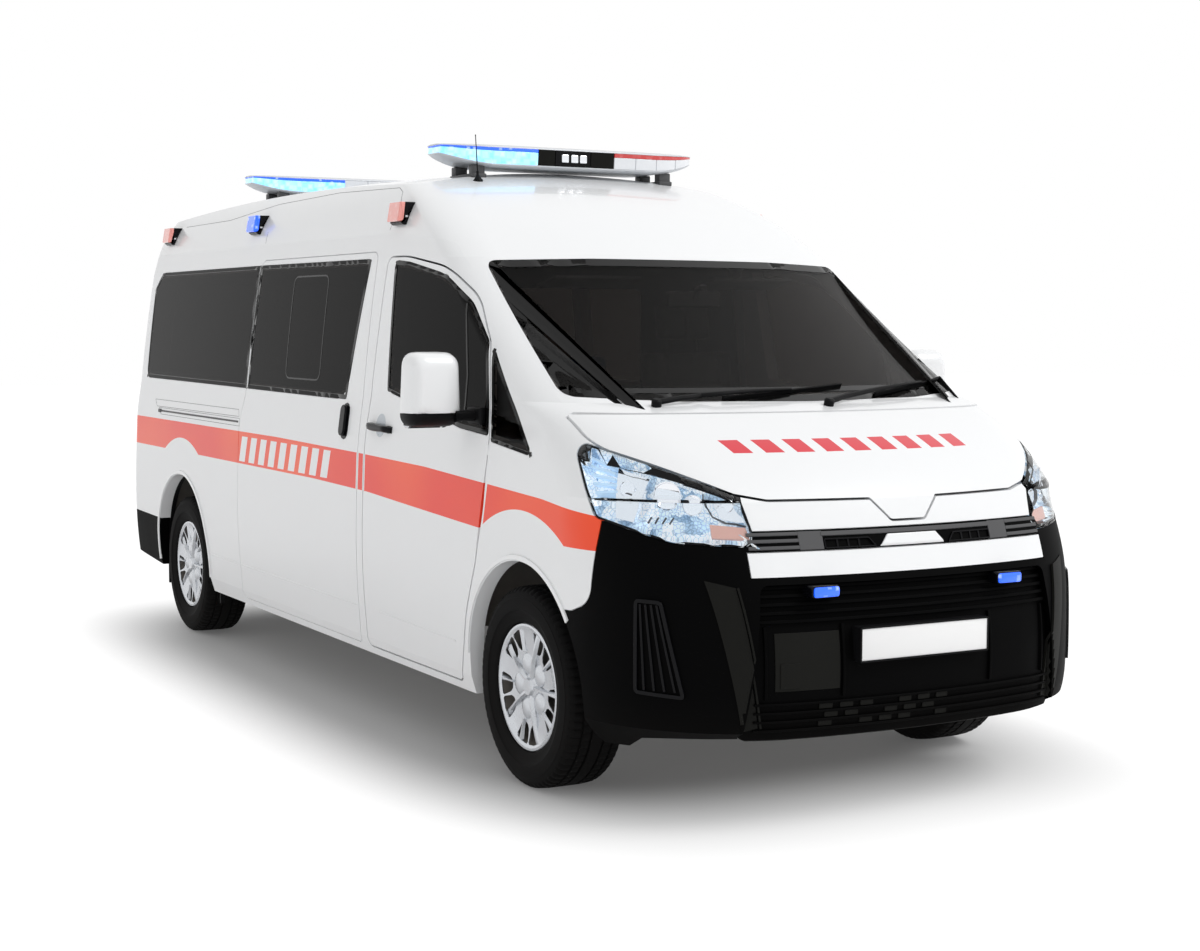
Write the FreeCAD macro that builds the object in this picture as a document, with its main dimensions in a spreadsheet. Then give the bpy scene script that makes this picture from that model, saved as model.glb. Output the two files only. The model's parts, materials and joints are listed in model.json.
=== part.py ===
"""High-roof ambulance van with a short bonnet, left-hand drive, in millimetres.

+X points forward, +Y to the vehicle's left and +Z up. The origin is on the ground,
halfway along the body and on its centre line.
"""
import FreeCAD, Part
import math
import os
from FreeCAD import Placement, Rotation, Vector

doc = FreeCAD.newDocument("Ambulance")

# ---------------------------------------------------------------- driving dimensions
SIZES = [  # alias, millimetres (or degrees), what it is
    ("overall_length", 5915, "front bumper to rear bumper"),
    ("body_width", 1950, "width over the body, without mirrors"),
    ("roof_top", 2282, "height of the bare roof"),
    ("wheelbase", 3860, "front axle to rear axle"),
    ("front_overhang", 1015, "front axle to the front bumper"),
    ("track", 1670, "between the tyre centres"),
    ("tyre_radius", 353, "tyre 235/65 R16"),
    ("tyre_width", 235, "tyre 235/65 R16"),
    ("rim_radius", 224, "outside of the rim flange"),
    ("rim_width", 196, "width of the rim"),
    ("rim_clearance", 0.3, "between the rim and the tyre's bead"),
    ("body_wall", 60, "whole thickness of doors and side walls"),
    ("roof_wall", 45, "whole thickness of the roof"),
    ("glass_depth", 7, "thickness of the glass, flush with the body"),
    ("glass_lap", 26, "how far the glass laps over its frame"),
    ("shut_gap", 8, "gap round doors and lids"),
    ("panel_gap", 3, "gap between fixed panels"),
    ("floor_top", 600, "height of the load floor"),
    ("floor_depth", 36, "thickness of the floor"),
    ("arch_radius", 424, "opening of the wheel arches"),
    ("well_inner", 495, "inner wall of the wheel wells, from the centre line"),
    ("well_sheet", 5, "sheet of the wheel wells and the bulkhead"),
    ("rail_offset", 400, "centre line to the middle of a frame rail"),
    ("rail_width", 90, "width of a frame rail"),
    ("rail_depth", 120, "height of a frame rail"),
    ("steer_lean", 10.8, "inward lean of the steering axis, degrees"),
    ("steer_offset", 129, "tyre centre to the steering axis at hub height"),
    ("strut_radius", 26, "suspension strut"),
    ("seat_width", 500, "width of a front seat"),
    ("light_bar_length", 1240, "roof light bars, across the vehicle"),
    ("light_bar_width", 300, "roof light bars, along the vehicle"),
    ("steering_wheel_radius", 190, "to the middle of the rim"),
]
sheet = doc.addObject("Spreadsheet::Sheet", "Sizes")
for number, (alias, value, note) in enumerate(SIZES, start=1):
    sheet.set("A%d" % number, note)
    sheet.set("B%d" % number, str(value))
    sheet.setAlias("B%d" % number, alias)
doc.recompute()


def size(alias):
    """A driving dimension, read back from the sheet."""
    return float(getattr(sheet, alias))


NOSE = size("overall_length") / 2
TAIL = -NOSE
HALF = size("body_width") / 2
FRONT_AXLE = NOSE - size("front_overhang")
REAR_AXLE = FRONT_AXLE - size("wheelbase")
WHEEL_Y = size("track") / 2
HUB_Z = size("tyre_radius")
ROOF = size("roof_top")
GAP = size("shut_gap")
SEAM = size("panel_gap")
FLOOR = size("floor_top")
UNDER = FLOOR - size("floor_depth")
INSIDE = HALF - size("body_wall")
BELT = 1862.0                     # top of the windscreen

PARTS = []                        # every finished sub-part, in the order it is made


def finish(item, label):
    """Keep an object of the document as one named sub-part."""
    item.Label = label
    PARTS.append(item)
    return item


def feature(label, shape):
    """A sub-part whose shape comes from Part's own functions."""
    item = doc.addObject("Part::Feature", label)
    item.Shape = shape.removeSplitter() if len(shape.Solids) == 1 else shape
    item.Placement = Placement()
    return finish(item, label)


def bind(item, **links):
    """Set properties of an object; text is an expression in the sheet's names."""
    for name, link in links.items():
        path = name.replace("__", ".")
        if isinstance(link, str):
            item.setExpression(path, link)
        elif "." not in path:
            setattr(item, path, link)
        else:
            item.setExpression(path, "%.6f" % link)
    return item


def at(x, y, z):
    """Place of a primitive, as the three bound parts of its Placement."""
    return {"Placement__Base__x": x, "Placement__Base__y": y, "Placement__Base__z": z}


def box(name, length, width, height, place):
    item = doc.addObject("Part::Box", name)
    return bind(item, Length=length, Width=width, Height=height, **at(*place))


def turn(item, axis, angle):
    item.Placement.Rotation = Rotation(axis, angle)
    return item


X_AXIS, Y_AXIS, Z_AXIS = Vector(1, 0, 0), Vector(0, 1, 0), Vector(0, 0, 1)


def cylinder(name, radius, height, place, axis=Z_AXIS, angle=0.0):
    item = doc.addObject("Part::Cylinder", name)
    turn(item, axis, angle)
    return bind(item, Radius=radius, Height=height, **at(*place))


def rod(name, radius, start, run):
    """A cylinder from a point, as long as the run and along it."""
    item = doc.addObject("Part::Cylinder", name)
    item.Placement = Placement(start, Rotation(Z_AXIS, run))
    return bind(item, Radius=radius, Height=run.Length)


def fuse(name, *items):
    joined = doc.addObject("Part::MultiFuse", name)
    joined.Shapes = list(items)
    joined.Refine = True
    return joined


# ---------------------------------------------------------------- outlines and prisms
def corner_arc(before, point, after, radius):
    """Ends and middle of the arc that rounds one corner of an outline."""
    a, b = (before - point).normalize(), (after - point).normalize()
    half = a.getAngle(b) / 2
    reach = radius / math.tan(half)
    centre = point + (a + b).normalize() * (radius / math.sin(half))
    middle = centre + (point - centre).normalize() * radius
    return point + a * reach, middle, point + b * reach


def outline_curves(points):
    """The lines and corner arcs of an outline. Rows are (across, up, corner radius)."""
    corners = [Vector(p[0], p[1], 0) for p in points]
    radii = [p[2] if len(p) > 2 else 0 for p in points]
    count = len(points)
    arcs = []
    for i, (corner, radius) in enumerate(zip(corners, radii)):
        if radius:
            arcs.append(corner_arc(corners[i - 1], corner, corners[(i + 1) % count], radius))
        else:
            arcs.append((corner, None, corner))
    curves = []
    for i, (start, middle, end) in enumerate(arcs):
        if middle:
            curves.append(Part.Arc(start, middle, end))
        following = arcs[(i + 1) % count][0]
        if end.distanceToPoint(following) > 0.01:
            curves.append(Part.LineSegment(end, following))
    return curves


def outline(points):
    """A closed wire in the XY plane."""
    return Part.Wire([curve.toShape() for curve in outline_curves(points)])


# turns the XY plane of an outline into a side view (X, Z) or a front view (Y, Z)
VIEWS = {"side": Rotation(X_AXIS, 90), "front": Rotation(Vector(1, 1, 1), 120), "plan": Rotation()}
SIGHT = {"side": Vector(0, -1, 0), "front": X_AXIS, "plan": Z_AXIS}


def prism(points, view, start, end, grow=0.0):
    """An outline seen in a view, grown all round and run from start to end along its sight."""
    face = Part.Face(outline(points))
    if grow:
        face = face.makeOffset2D(grow, 2)
    face.Placement = Placement(Vector(), VIEWS[view])
    face.translate(SIGHT[view] * start)
    return face.extrude(SIGHT[view] * (end - start))


def plug(points, outer, inner, grow=0.0, taper=0.2):
    """A side-view outline that narrows inwards like a plug, from |y| = outer to |y| = inner.

    It stands on the right side of the vehicle, where y is negative.
    """
    plain = outline(points)
    centre = plain.BoundBox.Center
    reach = min(plain.BoundBox.XLength, plain.BoundBox.YLength) / 2
    edge = plain.makeOffset2D(grow) if grow else plain
    wires = []
    for place in (outer, inner):
        wire = edge.copy()
        wire.scale(1 - (HALF - place) * taper / reach, centre)
        wire.Placement = Placement(Vector(0, -place, 0), VIEWS["side"])
        wires.append(wire)
    return Part.makeLoft(wires, True, True)


def mirrored(shape):
    return shape.mirror(Vector(), Y_AXIS)


def both(shape):
    """The shape and its mirror image, as one compound."""
    return Part.Compound([shape, mirrored(shape)])


# ---------------------------------------------------------------- body envelope
# Level sections of the body. Columns: height, how far the nose, the sides and the tail
# stand back from the overall size, the radius of the front arc, and the corner radii.
SECTIONS = [  # height, nose, side, tail, front arc, front corner, rear corner
    [(230, 237, 50, 77, 2600, 560, 120), (330, 12, 20, 12, 3000, 590, 150)],
    [(330, 12, 20, 12, 3000, 590, 150), (500, 0, 7, 0, 3000, 600, 150),
     (650, 9, 0, 7, 3000, 600, 150), (830, 52, 0, 15, 2800, 560, 150),
     (940, 87, 3, 19, 2560, 560, 150), (1050, 127, 7, 22, 2400, 520, 150)],
    [(1050, 127, 7, 22, 2400, 520, 150), (1140, 227, 13, 25, 2200, 480, 150),
     (1234, 367, 25, 32, 2100, 420, 150), (1345, 655, 39, 39, 2100, 370, 150)],
    [(1345, 655, 39, 39, 2100, 370, 150), (1600, 1107, 65, 64, 2100, 260, 150),
     (BELT, 1502, 98, 92, 2100, 220, 150)],
    [(BELT, 1502, 98, 92, 2100, 220, 150), (ROOF - 292, 1732, 129, 107, 2100, 215, 160),
     (ROOF - 182, 1972, 177, 132, 2100, 215, 170), (ROOF - 92, 2242, 245, 172, 2100, 215, 180),
     (ROOF - 32, 2517, 320, 222, 2100, 215, 180), (ROOF + 18, 2827, 430, 307, 2100, 215, 180)],
]
TAIL_ARC = 6000.0                 # radius of the slightly bowed rear end
CROWN_ACROSS = 4000.0             # radius of the roof across the vehicle
CROWN_ALONG = 30000.0             # radius of the roof along the vehicle
CROWN_X = NOSE - 3857.0           # highest point of the roof


def section(row, inset, drop):
    """One closed level section of the body, inset all round and lowered."""
    height, nose, side, tail, front_arc, corner, rear_corner = row
    height -= drop
    tip, half, back = NOSE - nose - inset, HALF - side - inset, TAIL + tail + inset
    front_arc, corner, rear_corner = front_arc - inset, corner - inset, rear_corner - inset * 0.8
    tail_arc = TAIL_ARC - inset

    def rounding(arc, round_off, end, sense):
        """Arc across an end and its corner, on the left side of the vehicle."""
        centre_y = half - round_off
        reach = math.sqrt((arc - round_off) ** 2 - centre_y ** 2)
        centre_x = end - sense * arc + sense * reach
        swing = math.atan2(centre_y, reach)
        start_x = end - sense * arc + sense * arc * math.cos(swing)
        middle = (swing + math.pi / 2) / 2
        return (Vector(start_x, arc * math.sin(swing), height),
                Vector(centre_x + sense * round_off * math.cos(middle),
                       centre_y + round_off * math.sin(middle), height),
                Vector(centre_x, half, height))

    front = rounding(front_arc, corner, tip, 1)
    rear = rounding(tail_arc, rear_corner, back, -1)
    right_front = [Vector(p.x, -p.y, p.z) for p in front]
    right_rear = [Vector(p.x, -p.y, p.z) for p in rear]
    edges = [
        Part.Arc(right_front[0], Vector(tip, 0, height), front[0]),
        Part.Arc(*front),
        Part.LineSegment(front[2], rear[2]),
        Part.Arc(rear[2], rear[1], rear[0]),
        Part.Arc(rear[0], Vector(back, 0, height), right_rear[0]),
        Part.Arc(*right_rear),
        Part.LineSegment(right_rear[2], right_front[2]),
        Part.Arc(right_front[2], right_front[1], right_front[0]),
    ]
    return Part.Wire([edge.toShape() for edge in edges])


def crown(drop):
    """Everything under the domed roof surface."""
    side = HALF + 250
    sag = CROWN_ACROSS - math.sqrt(CROWN_ACROSS ** 2 - side ** 2)
    top = ROOF - drop
    corners = [Vector(CROWN_X, side, top - sag), Vector(CROWN_X, side, -500),
               Vector(CROWN_X, -side, -500), Vector(CROWN_X, -side, top - sag)]
    edges = [Part.Arc(corners[3], Vector(CROWN_X, 0, top), corners[0]).toShape()]
    edges += [Part.LineSegment(a, b).toShape() for a, b in zip(corners, corners[1:])]
    face = Part.Face(Part.Wire(edges))
    centre = Vector(CROWN_X, 0, ROOF - CROWN_ALONG)
    face.rotate(centre, Y_AXIS, -9)
    return face.revolve(centre, Y_AXIS, 18)


def envelope(inset, drop):
    """The solid inside the body's surface, inset at the sides and lowered at the top."""
    zones = [Part.makeLoft([section(row, inset, drop) for row in rows], True, False)
             for rows in SECTIONS]
    return zones[0].multiFuse(zones[1:]).common(crown(drop))


def body_row(height):
    """The section table's row at a height, between two of its rows."""
    rows = [row for zone in SECTIONS for row in zone]
    for low, high in zip(rows, rows[1:]):
        if low[0] <= height < high[0]:
            share = (height - low[0]) / (high[0] - low[0])
            return [a + (b - a) * share for a, b in zip(low, high)]
    return rows[-1]


def side_at(height):
    """Half the body's width at a height."""
    return HALF - body_row(height)[2]


OUTER = envelope(0, 0)
INNER = envelope(size("body_wall"), size("roof_wall"))
UNDER_GLASS = envelope(size("glass_depth"), size("glass_depth"))
SHELL = OUTER.cut(INNER)
SKIN = OUTER.cut(UNDER_GLASS)
CLEAR_OF_DOORS = envelope(size("body_wall") + 14, size("roof_wall") + 14)
GRILLE_FACE = envelope(24, 24)
FAR = HALF + 200                  # outside the body, to the side
AHEAD, ABOVE = NOSE + 200, ROOF + 300


def seen_from_side(points):
    """Rows measured from the front axle become rows in the vehicle's frame."""
    return [(FRONT_AXLE + p[0],) + tuple(p[1:]) for p in points]


def seen_from_tail(points):
    """Rows measured from the tail become rows in the vehicle's frame."""
    return [(TAIL + p[0],) + tuple(p[1:]) for p in points]


# ---------------------------------------------------------------- outlines of the panels
# Side views are measured from the front axle or the tail, then up from the ground;
# the third number is the corner's radius.
DOOR = seen_from_side([
    (-488, 290, 30), (-413, 560, 500), (-328, 751, 300), (-272, 960, 400), (-252, 1140, 60),
    (-252, 1215, 20), (-312, 1545, 120), (-494, 1731, 400), (-740, 1845, 700),
    (-1151, 1900, 900), (-1350, 1903, 45), (-1382, 1216, 500), (-1388, 290, 30)])
DOOR_GLASS = seen_from_side([
    (-262, 1215, 12), (-336, 1545, 60), (-519, 1690, 300), (-747, 1795, 600),
    (-1117, 1852, 600), (-1262, 1862, 30), (-1208, 1342, 60), (-504, 1231, 200)])
QUARTER_GLASS = seen_from_side([(92, 1162, 14), (-300, 1528, 10), (-236, 1196, 10)])
SLIDER = seen_from_side([
    (-1458, 290, 30), (-1455, 1300, 500), (-1430, 1922, 40), (-2866, 1922, 40),
    (-2909, 1287, 300), (-2952, 1147, 300), (-2952, 290, 30)])
MIDDLE_GLASS = seen_from_side([
    (-1511, 1873, 26), (-1640, 1293, 130), (-2894, 1300, 12), (-2856, 1878, 12)])
REAR_GLASS = [
    (FRONT_AXLE - 2922, 1301, 12), (FRONT_AXLE - 2884, 1878, 12),
    (TAIL + 440, 1876, 120), (TAIL + 334, 1790, 60), (TAIL + 322, 1309, 50)]
TAILGATE = [(-788, 585, 60), (788, 585, 60), (770, 1300, 800), (700, 1945, 90),
            (-700, 1945, 90), (-770, 1300, 800)]
TAILGATE_GLASS = [(-672, 1305, 60), (672, 1305, 60), (618, 1850, 90), (-618, 1850, 90)]
WINDSCREEN = [(-846, 1368, 30), (-500, 1350, 900), (500, 1350, 900), (846, 1368, 30),
              (786, 1846, 40), (400, 1856, 900), (-400, 1856, 900), (-786, 1846, 40)]
BONNET = [(-888, 1500), (-888, 1217, 60), (-597, 1077, 60), (-500, 1058, 60),
          (-134, 1055, 14), (-66, 984, 16), (66, 984, 16), (134, 1055, 14),
          (500, 1058, 60), (597, 1077, 60), (888, 1217, 60), (888, 1500)]
BONNET_BACK = FRONT_AXLE + 217    # rear edge of the bonnet's corners, where its hinges are
BONNET_PIN_Z = 1304.0
BONNET_SWING = 13.0               # room behind the bonnet for its rear edge to swing
DOOR_PIN = Vector(FRONT_AXLE - 251, -959, 0)
TAILGATE_PIN_Z = 1949.0
WING = seen_from_side([(-478, 150), (-478, 300), (-330, 740), (-252, 1140), (-252, 1188),
                       (112, 1142), (178, 1240), (178, 1600), (1400, 1600), (1400, 150)])
ROOF_EDGE = seen_from_side([
    (-5200, 1975), (-1330, 1975, 60), (-800, 1925, 200), (-650, 1830, 60), (-560, 1815, 60),
    (1400, 1815), (1400, 2600), (-5200, 2600)])
FRONT_BUMPER = seen_from_side([(330, 100), (330, 672), (400, 676, 60), (505, 715, 80),
                               (523, 1000), (1300, 1000), (1300, 100)])
REAR_BUMPER = seen_from_tail([(-80, 200), (-80, 572), (640, 558), (640, 200)])
LOWER_GRILLE = [(-640, 300, 30), (640, 300, 30), (578, 796, 30), (-578, 796, 30)]
UNDERCUT = [(NOSE + 60, 100), (NOSE + 60, 240), (FRONT_AXLE, 240), (FRONT_AXLE - 400, 262),
            (REAR_AXLE, 262), (REAR_AXLE - 380, 298), (TAIL - 60, 362), (TAIL - 60, 100)]
NOSE_BANDS = {"bar": (820, 898), "strip": (898, 960), "panel": (960, 1100)}
NOSE_HALF = 600.0
LAMP_TURN = 45.0                  # the headlights are seen square-on from this side
HEADLIGHT = [(943, 1234, 30), (1513, 1090, 30), (1592, 912, 30), (1330, 925, 200),
             (1059, 992, 40)]
TAIL_LAMP = [(-960, 860, 20), (-826, 860, 20), (-806, 1260, 30), (-960, 1260, 30)]


def groove(zone):
    """The shallow part of a grown zone, as deep as the skin."""
    return SKIN.common(zone)


def wheel_arch(axle, centre_z, reach, grow, inner, outer):
    """A round-topped opening, straight below the middle, on the right side."""
    radius = size("arch_radius") + grow
    middle = axle + reach
    arc = Part.Arc(Vector(middle + radius, centre_z, 0), Vector(middle, centre_z + radius, 0),
                   Vector(middle - radius, centre_z, 0)).toShape()
    legs = [Vector(middle - radius, centre_z, 0), Vector(middle - radius, 100, 0),
            Vector(middle + radius, 100, 0), Vector(middle + radius, centre_z, 0)]
    lines = [Part.LineSegment(a, b).toShape() for a, b in zip(legs, legs[1:])]
    face = Part.Face(Part.Wire([arc] + lines))
    face.Placement = Placement(Vector(), VIEWS["side"])
    face.translate(SIGHT["side"] * inner)
    return face.extrude(SIGHT["side"] * (outer - inner))


FRONT_ARCH = (FRONT_AXLE, HUB_Z + 22, 26)
REAR_ARCH = (REAR_AXLE, HUB_Z + 45, -10)

# ---------------------------------------------------------------- cutting the shell up
shell = SHELL.cut(prism(UNDERCUT, "side", -FAR, FAR))
for axle in (FRONT_ARCH, REAR_ARCH):
    shell = shell.cut(both(wheel_arch(*axle, 0, 700, FAR)))

# Bonnet: seen from the front, and stopped by the foot of the windscreen behind it.
screen_foot = Part.Face(section(body_row(1306.0), 0, 0))
screen_foot.translate(Vector(0, 0, -500))
screen_foot_zone = screen_foot.extrude(Vector(0, 0, 1000))
foot_gap = Part.Face(section(body_row(1306.0), -BONNET_SWING, 0))
foot_gap.translate(Vector(0, 0, -500))
foot_gap_zone = foot_gap.extrude(Vector(0, 0, 1000))
bonnet_view = prism(BONNET, "front", BONNET_BACK, AHEAD)
bonnet = shell.common(bonnet_view).cut(foot_gap_zone)
shell = shell.cut(prism(BONNET, "front", BONNET_BACK - GAP, AHEAD, GAP).cut(screen_foot_zone))

# Roof, then the windscreen with its rebate.
screen = SKIN.common(prism(WINDSCREEN, "front", FRONT_AXLE - 1100, AHEAD))
screen_hole = prism(WINDSCREEN, "front", FRONT_AXLE - 1100, AHEAD, -size("glass_lap"))
screen_rebate = groove(prism(WINDSCREEN, "front", FRONT_AXLE - 1100, AHEAD, 2))
shell = shell.cut(screen_hole).cut(screen_rebate)
roof_zone = prism(ROOF_EDGE, "side", -FAR, FAR)
roof = shell.common(roof_zone)
shell = shell.cut(roof_zone)

# Cowl under the windscreen's foot.
cowl_zone = screen_foot_zone.common(
    Part.makeBox(900, 1720, 300, Vector(FRONT_AXLE - 40, -860, 1095)))
cowl = shell.common(cowl_zone)
shell = shell.cut(cowl_zone)

# Tailgate, rear bumper and tail lamps.
tailgate_reach = (TAIL - 100, TAIL + 330)
tailgate = shell.common(prism(TAILGATE, "front", *tailgate_reach))
shell = shell.cut(prism(TAILGATE, "front", *tailgate_reach, GAP))
tailgate_glass = SKIN.common(prism(TAILGATE_GLASS, "front", *tailgate_reach))
tailgate = tailgate.cut(
    prism(TAILGATE_GLASS, "front", *tailgate_reach, -size("glass_lap"))).cut(
    groove(prism(TAILGATE_GLASS, "front", *tailgate_reach, 2)))
rear_bumper_zone = prism(REAR_BUMPER, "side", -FAR, FAR)
rear_bumper = shell.common(rear_bumper_zone)
shell = shell.cut(rear_bumper_zone).cut(groove(prism(REAR_BUMPER, "side", -FAR, FAR, SEAM)))
lamp_zone = both(prism(TAIL_LAMP, "front", TAIL - 100, TAIL + 200))
tail_lamps = shell.common(lamp_zone)
shell = shell.cut(lamp_zone)

# Headlights, nose and front bumper.
def headlight_zone(grow):
    zone = prism(HEADLIGHT, "front", 1700, 2600, grow)
    zone.rotate(Vector(), Z_AXIS, -LAMP_TURN)
    return zone


headlights = shell.common(both(headlight_zone(0)))
shell = shell.cut(both(headlight_zone(0))).cut(groove(both(headlight_zone(SEAM))))


def nose_band(name, grow=0.0):
    """A level band between the headlights."""
    low, high = NOSE_BANDS[name]
    band = [(-NOSE_HALF, low), (NOSE_HALF, low), (NOSE_HALF, high), (-NOSE_HALF, high)]
    return prism(band, "front", FRONT_AXLE + 500, AHEAD, grow)


bands = {name: shell.common(nose_band(name)) for name in NOSE_BANDS}
nose_zone = nose_band("bar").multiFuse([nose_band("strip"), nose_band("panel")])
shell = shell.cut(nose_zone)
strip_groove = groove(nose_band("strip", SEAM))
nose_panels = Part.Compound([bands["panel"].cut(strip_groove), bands["bar"].cut(strip_groove)])
bumper_zone = prism(FRONT_BUMPER, "side", -FAR, FAR)
front_bumper = shell.common(bumper_zone).cut(groove(nose_band("bar", SEAM)))
shell = shell.cut(bumper_zone).cut(groove(prism(FRONT_BUMPER, "side", -FAR, FAR, SEAM)))
grille_hole = prism(LOWER_GRILLE, "front", FRONT_AXLE + 500, AHEAD)
front_bumper = front_bumper.cut(grille_hole)
lower_grille = GRILLE_FACE.cut(envelope(44, 44)).common(grille_hole)

# Wings.
wing_zone = prism(WING, "side", -FAR, FAR)
door_zone = plug(DOOR, FAR, 600)
door_gap = plug(DOOR, FAR, 600, GAP)
wings = shell.common(wing_zone).cut(both(door_gap))
shell = shell.cut(wing_zone)

# Sides, doors and glass.
lap = -size("glass_lap")


def side_glass(points):
    """Pane, hole and rebate of one pane in a side wall, on the right."""
    pane = SKIN.common(prism(points, "side", 300, FAR))
    hole = prism(points, "side", 300, FAR, lap)
    rebate = groove(prism(points, "side", 300, FAR, 2))
    return pane, hole, rebate


quarter_pane, quarter_hole, quarter_rebate = side_glass(QUARTER_GLASS)
rear_pane, rear_hole, rear_rebate = side_glass(REAR_GLASS)
middle_pane, middle_hole, middle_rebate = side_glass(MIDDLE_GLASS)
door_pane, door_hole, door_rebate = side_glass(DOOR_GLASS)

half_space = Part.makeBox(8000, 1500, 3000, Vector(-4000, -1500, 0))
right = shell.common(half_space)
door = right.common(door_zone).cut(door_hole).cut(door_rebate)
wings_and_side = right.cut(door_gap)
slider_zone = plug(SLIDER, FAR, 600)
sliding_door = wings_and_side.common(slider_zone).cut(middle_hole).cut(middle_rebate)
both_sides = wings_and_side.cut(quarter_hole).cut(quarter_rebate).cut(rear_hole).cut(rear_rebate)
slider_groove = groove(plug(SLIDER, FAR, 600, SEAM + 2))
side_right = both_sides.cut(slider_zone).cut(slider_groove).cut(middle_rebate)
side_left = mirrored(both_sides.cut(middle_hole).cut(middle_rebate))

# ---------------------------------------------------------------- sketched pieces
def sketched(name, plane, points):
    """A PartDesign body with one sketch of an outline on one of its origin planes."""
    body = doc.addObject("PartDesign::Body", name)
    sketch = body.newObject("Sketcher::SketchObject", name + "_outline")
    origin = [f for f in body.Origin.OriginFeatures if f.Role == plane][0]
    sketch.AttachmentSupport = (origin, [""])
    sketch.MapMode = "FlatFace"
    sketch.addGeometry(outline_curves(points), False)
    return body, sketch


def pad(name, plane, points, length, place=(0, 0, 0)):
    """An outline padded evenly to both sides of its plane."""
    body, sketch = sketched(name, plane, points)
    solid = body.newObject("PartDesign::Pad", name + "_pad")
    solid.Profile = sketch
    solid.SideType = "Symmetric"
    bind(solid, Length=length)
    bind(body, **at(*place))
    return body


def revolve(name, points, place):
    """An outline turned about the vehicle's Y direction. Rows are (radius, along the axis)."""
    body, sketch = sketched(name, "XY_Plane", points)
    solid = body.newObject("PartDesign::Revolution", name + "_turned")
    solid.Profile = sketch
    solid.ReferenceAxis = (sketch, ["V_Axis"])
    solid.Angle = 360
    bind(body, **at(*place))
    return body


def shifted(points, across, up):
    return [(p[0] + across, p[1] + up) + tuple(p[2:]) for p in points]


# ---------------------------------------------------------------- wheels and steering
TYRE_R, TYRE_W = size("tyre_radius"), size("tyre_width") / 2
BEAD = size("rim_radius") + size("rim_clearance")
RIM_R, RIM_W = size("rim_radius"), size("rim_width") / 2
HUB_FACE = 30.0                   # outboard of the wheel's middle
HUB_FIT = 0.4                     # between parts that turn on each other
TYRE = [(BEAD, -RIM_W, 4), (BEAD + 60, -TYRE_W - 1, 45), (TYRE_R, -TYRE_W + 12, 22),
        (TYRE_R, TYRE_W - 12, 22), (BEAD + 60, TYRE_W + 1, 45), (BEAD, RIM_W, 4)]
RIM = [(0, HUB_FACE), (80, HUB_FACE), (95, HUB_FACE + 18, 10), (RIM_R - 30, 30, 12),
       (RIM_R - 24, -RIM_W + 14, 8), (RIM_R - 14, -RIM_W), (RIM_R, -RIM_W), (RIM_R, RIM_W),
       (RIM_R - 12, RIM_W), (RIM_R - 22, 62, 12), (95, 84, 30), (60, 96, 8), (0, 96)]
CORNERS = [  # name, x of the axle, side (left is +1)
    ("front_right", "Sizes.overall_length / 2 - Sizes.front_overhang", -1),
    ("front_left", "Sizes.overall_length / 2 - Sizes.front_overhang", 1),
    ("rear_right", "Sizes.overall_length / 2 - Sizes.front_overhang - Sizes.wheelbase", -1),
    ("rear_left", "Sizes.overall_length / 2 - Sizes.front_overhang - Sizes.wheelbase", 1),
]
for corner, axle_x, side in CORNERS:
    spot = (axle_x, "%d * Sizes.track / 2" % side, "Sizes.tyre_radius")
    for kind, rows in (("tyre", TYRE), ("rim", RIM)):
        name = "%s_%s" % (kind, corner)
        turned = [(p[0], side * p[1]) + tuple(p[2:]) for p in rows]
        finish(revolve(name, turned, spot), name)

LEAN = math.radians(size("steer_lean"))
PIN_Y = WHEEL_Y - size("steer_offset")   # steering axis at hub height


def steer_axis(side):
    """A point and the upward direction of the steering axis."""
    return (Vector(FRONT_AXLE, side * PIN_Y, HUB_Z),
            Vector(0, -side * math.sin(LEAN), math.cos(LEAN)))


def on_axis(side, along, radius, height):
    """A cylinder on the steering axis, from a distance along it above hub height."""
    point, direction = steer_axis(side)
    return Part.makeCylinder(radius, height, point + direction * along, direction)


def knuckle(side):
    """Upright, hub, brake disc, caliper and strut of one front wheel."""
    outward = Vector(0, side, 0)
    centre = Vector(FRONT_AXLE, side * PIN_Y, HUB_Z)
    hub_length = size("steer_offset") + HUB_FACE - HUB_FIT
    hub = Part.makeCylinder(58, hub_length, centre, outward)
    disc = Part.makeCylinder(146, 24, centre + outward * 66, outward)
    caliper = Part.makeBox(70, 78, 150, Vector(-168, -39, -75))
    caliper.translate(centre + outward * 78)
    strut = on_axis(side, 60, size("strut_radius"), 395)
    boss = on_axis(side, -132, 34, 200)
    return hub.multiFuse([disc, caliper, strut, boss])


for name, side in (("right", -1), ("left", 1)):
    feature("knuckle_" + name, knuckle(side))

STEERING_AT = Vector(FRONT_AXLE - 632, 400, 1165)
STEERING_TILT = 35.0              # the column falls forward by this much, degrees
STEERING_DIRECTION = Vector(math.cos(math.radians(STEERING_TILT)), 0,
                            -math.sin(math.radians(STEERING_TILT)))
steering_rim = doc.addObject("Part::Torus", "steering_rim")
bind(steering_rim, Radius1="Sizes.steering_wheel_radius", Radius2=15.0)
steering_hub = cylinder("steering_hub", 52.0, 50.0, (0, 0, -38))
low_spoke = box("low_spoke", "Sizes.steering_wheel_radius", 34.0, 12.0, (0, -17, -6))
cross_spoke = box("cross_spoke", 34.0, "2 * Sizes.steering_wheel_radius", 12.0,
                  (-17, "-Sizes.steering_wheel_radius", -6))
steering_wheel = fuse("steering_wheel", steering_rim, steering_hub, low_spoke, cross_spoke)
steering_wheel.Placement = Placement(STEERING_AT, Rotation(Z_AXIS, STEERING_DIRECTION))
finish(steering_wheel, "steering_wheel")

# ---------------------------------------------------------------- body panels as sub-parts
def hinge_barrel(place, axis, length, radius):
    return Part.makeCylinder(radius, length, place, axis)


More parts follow.
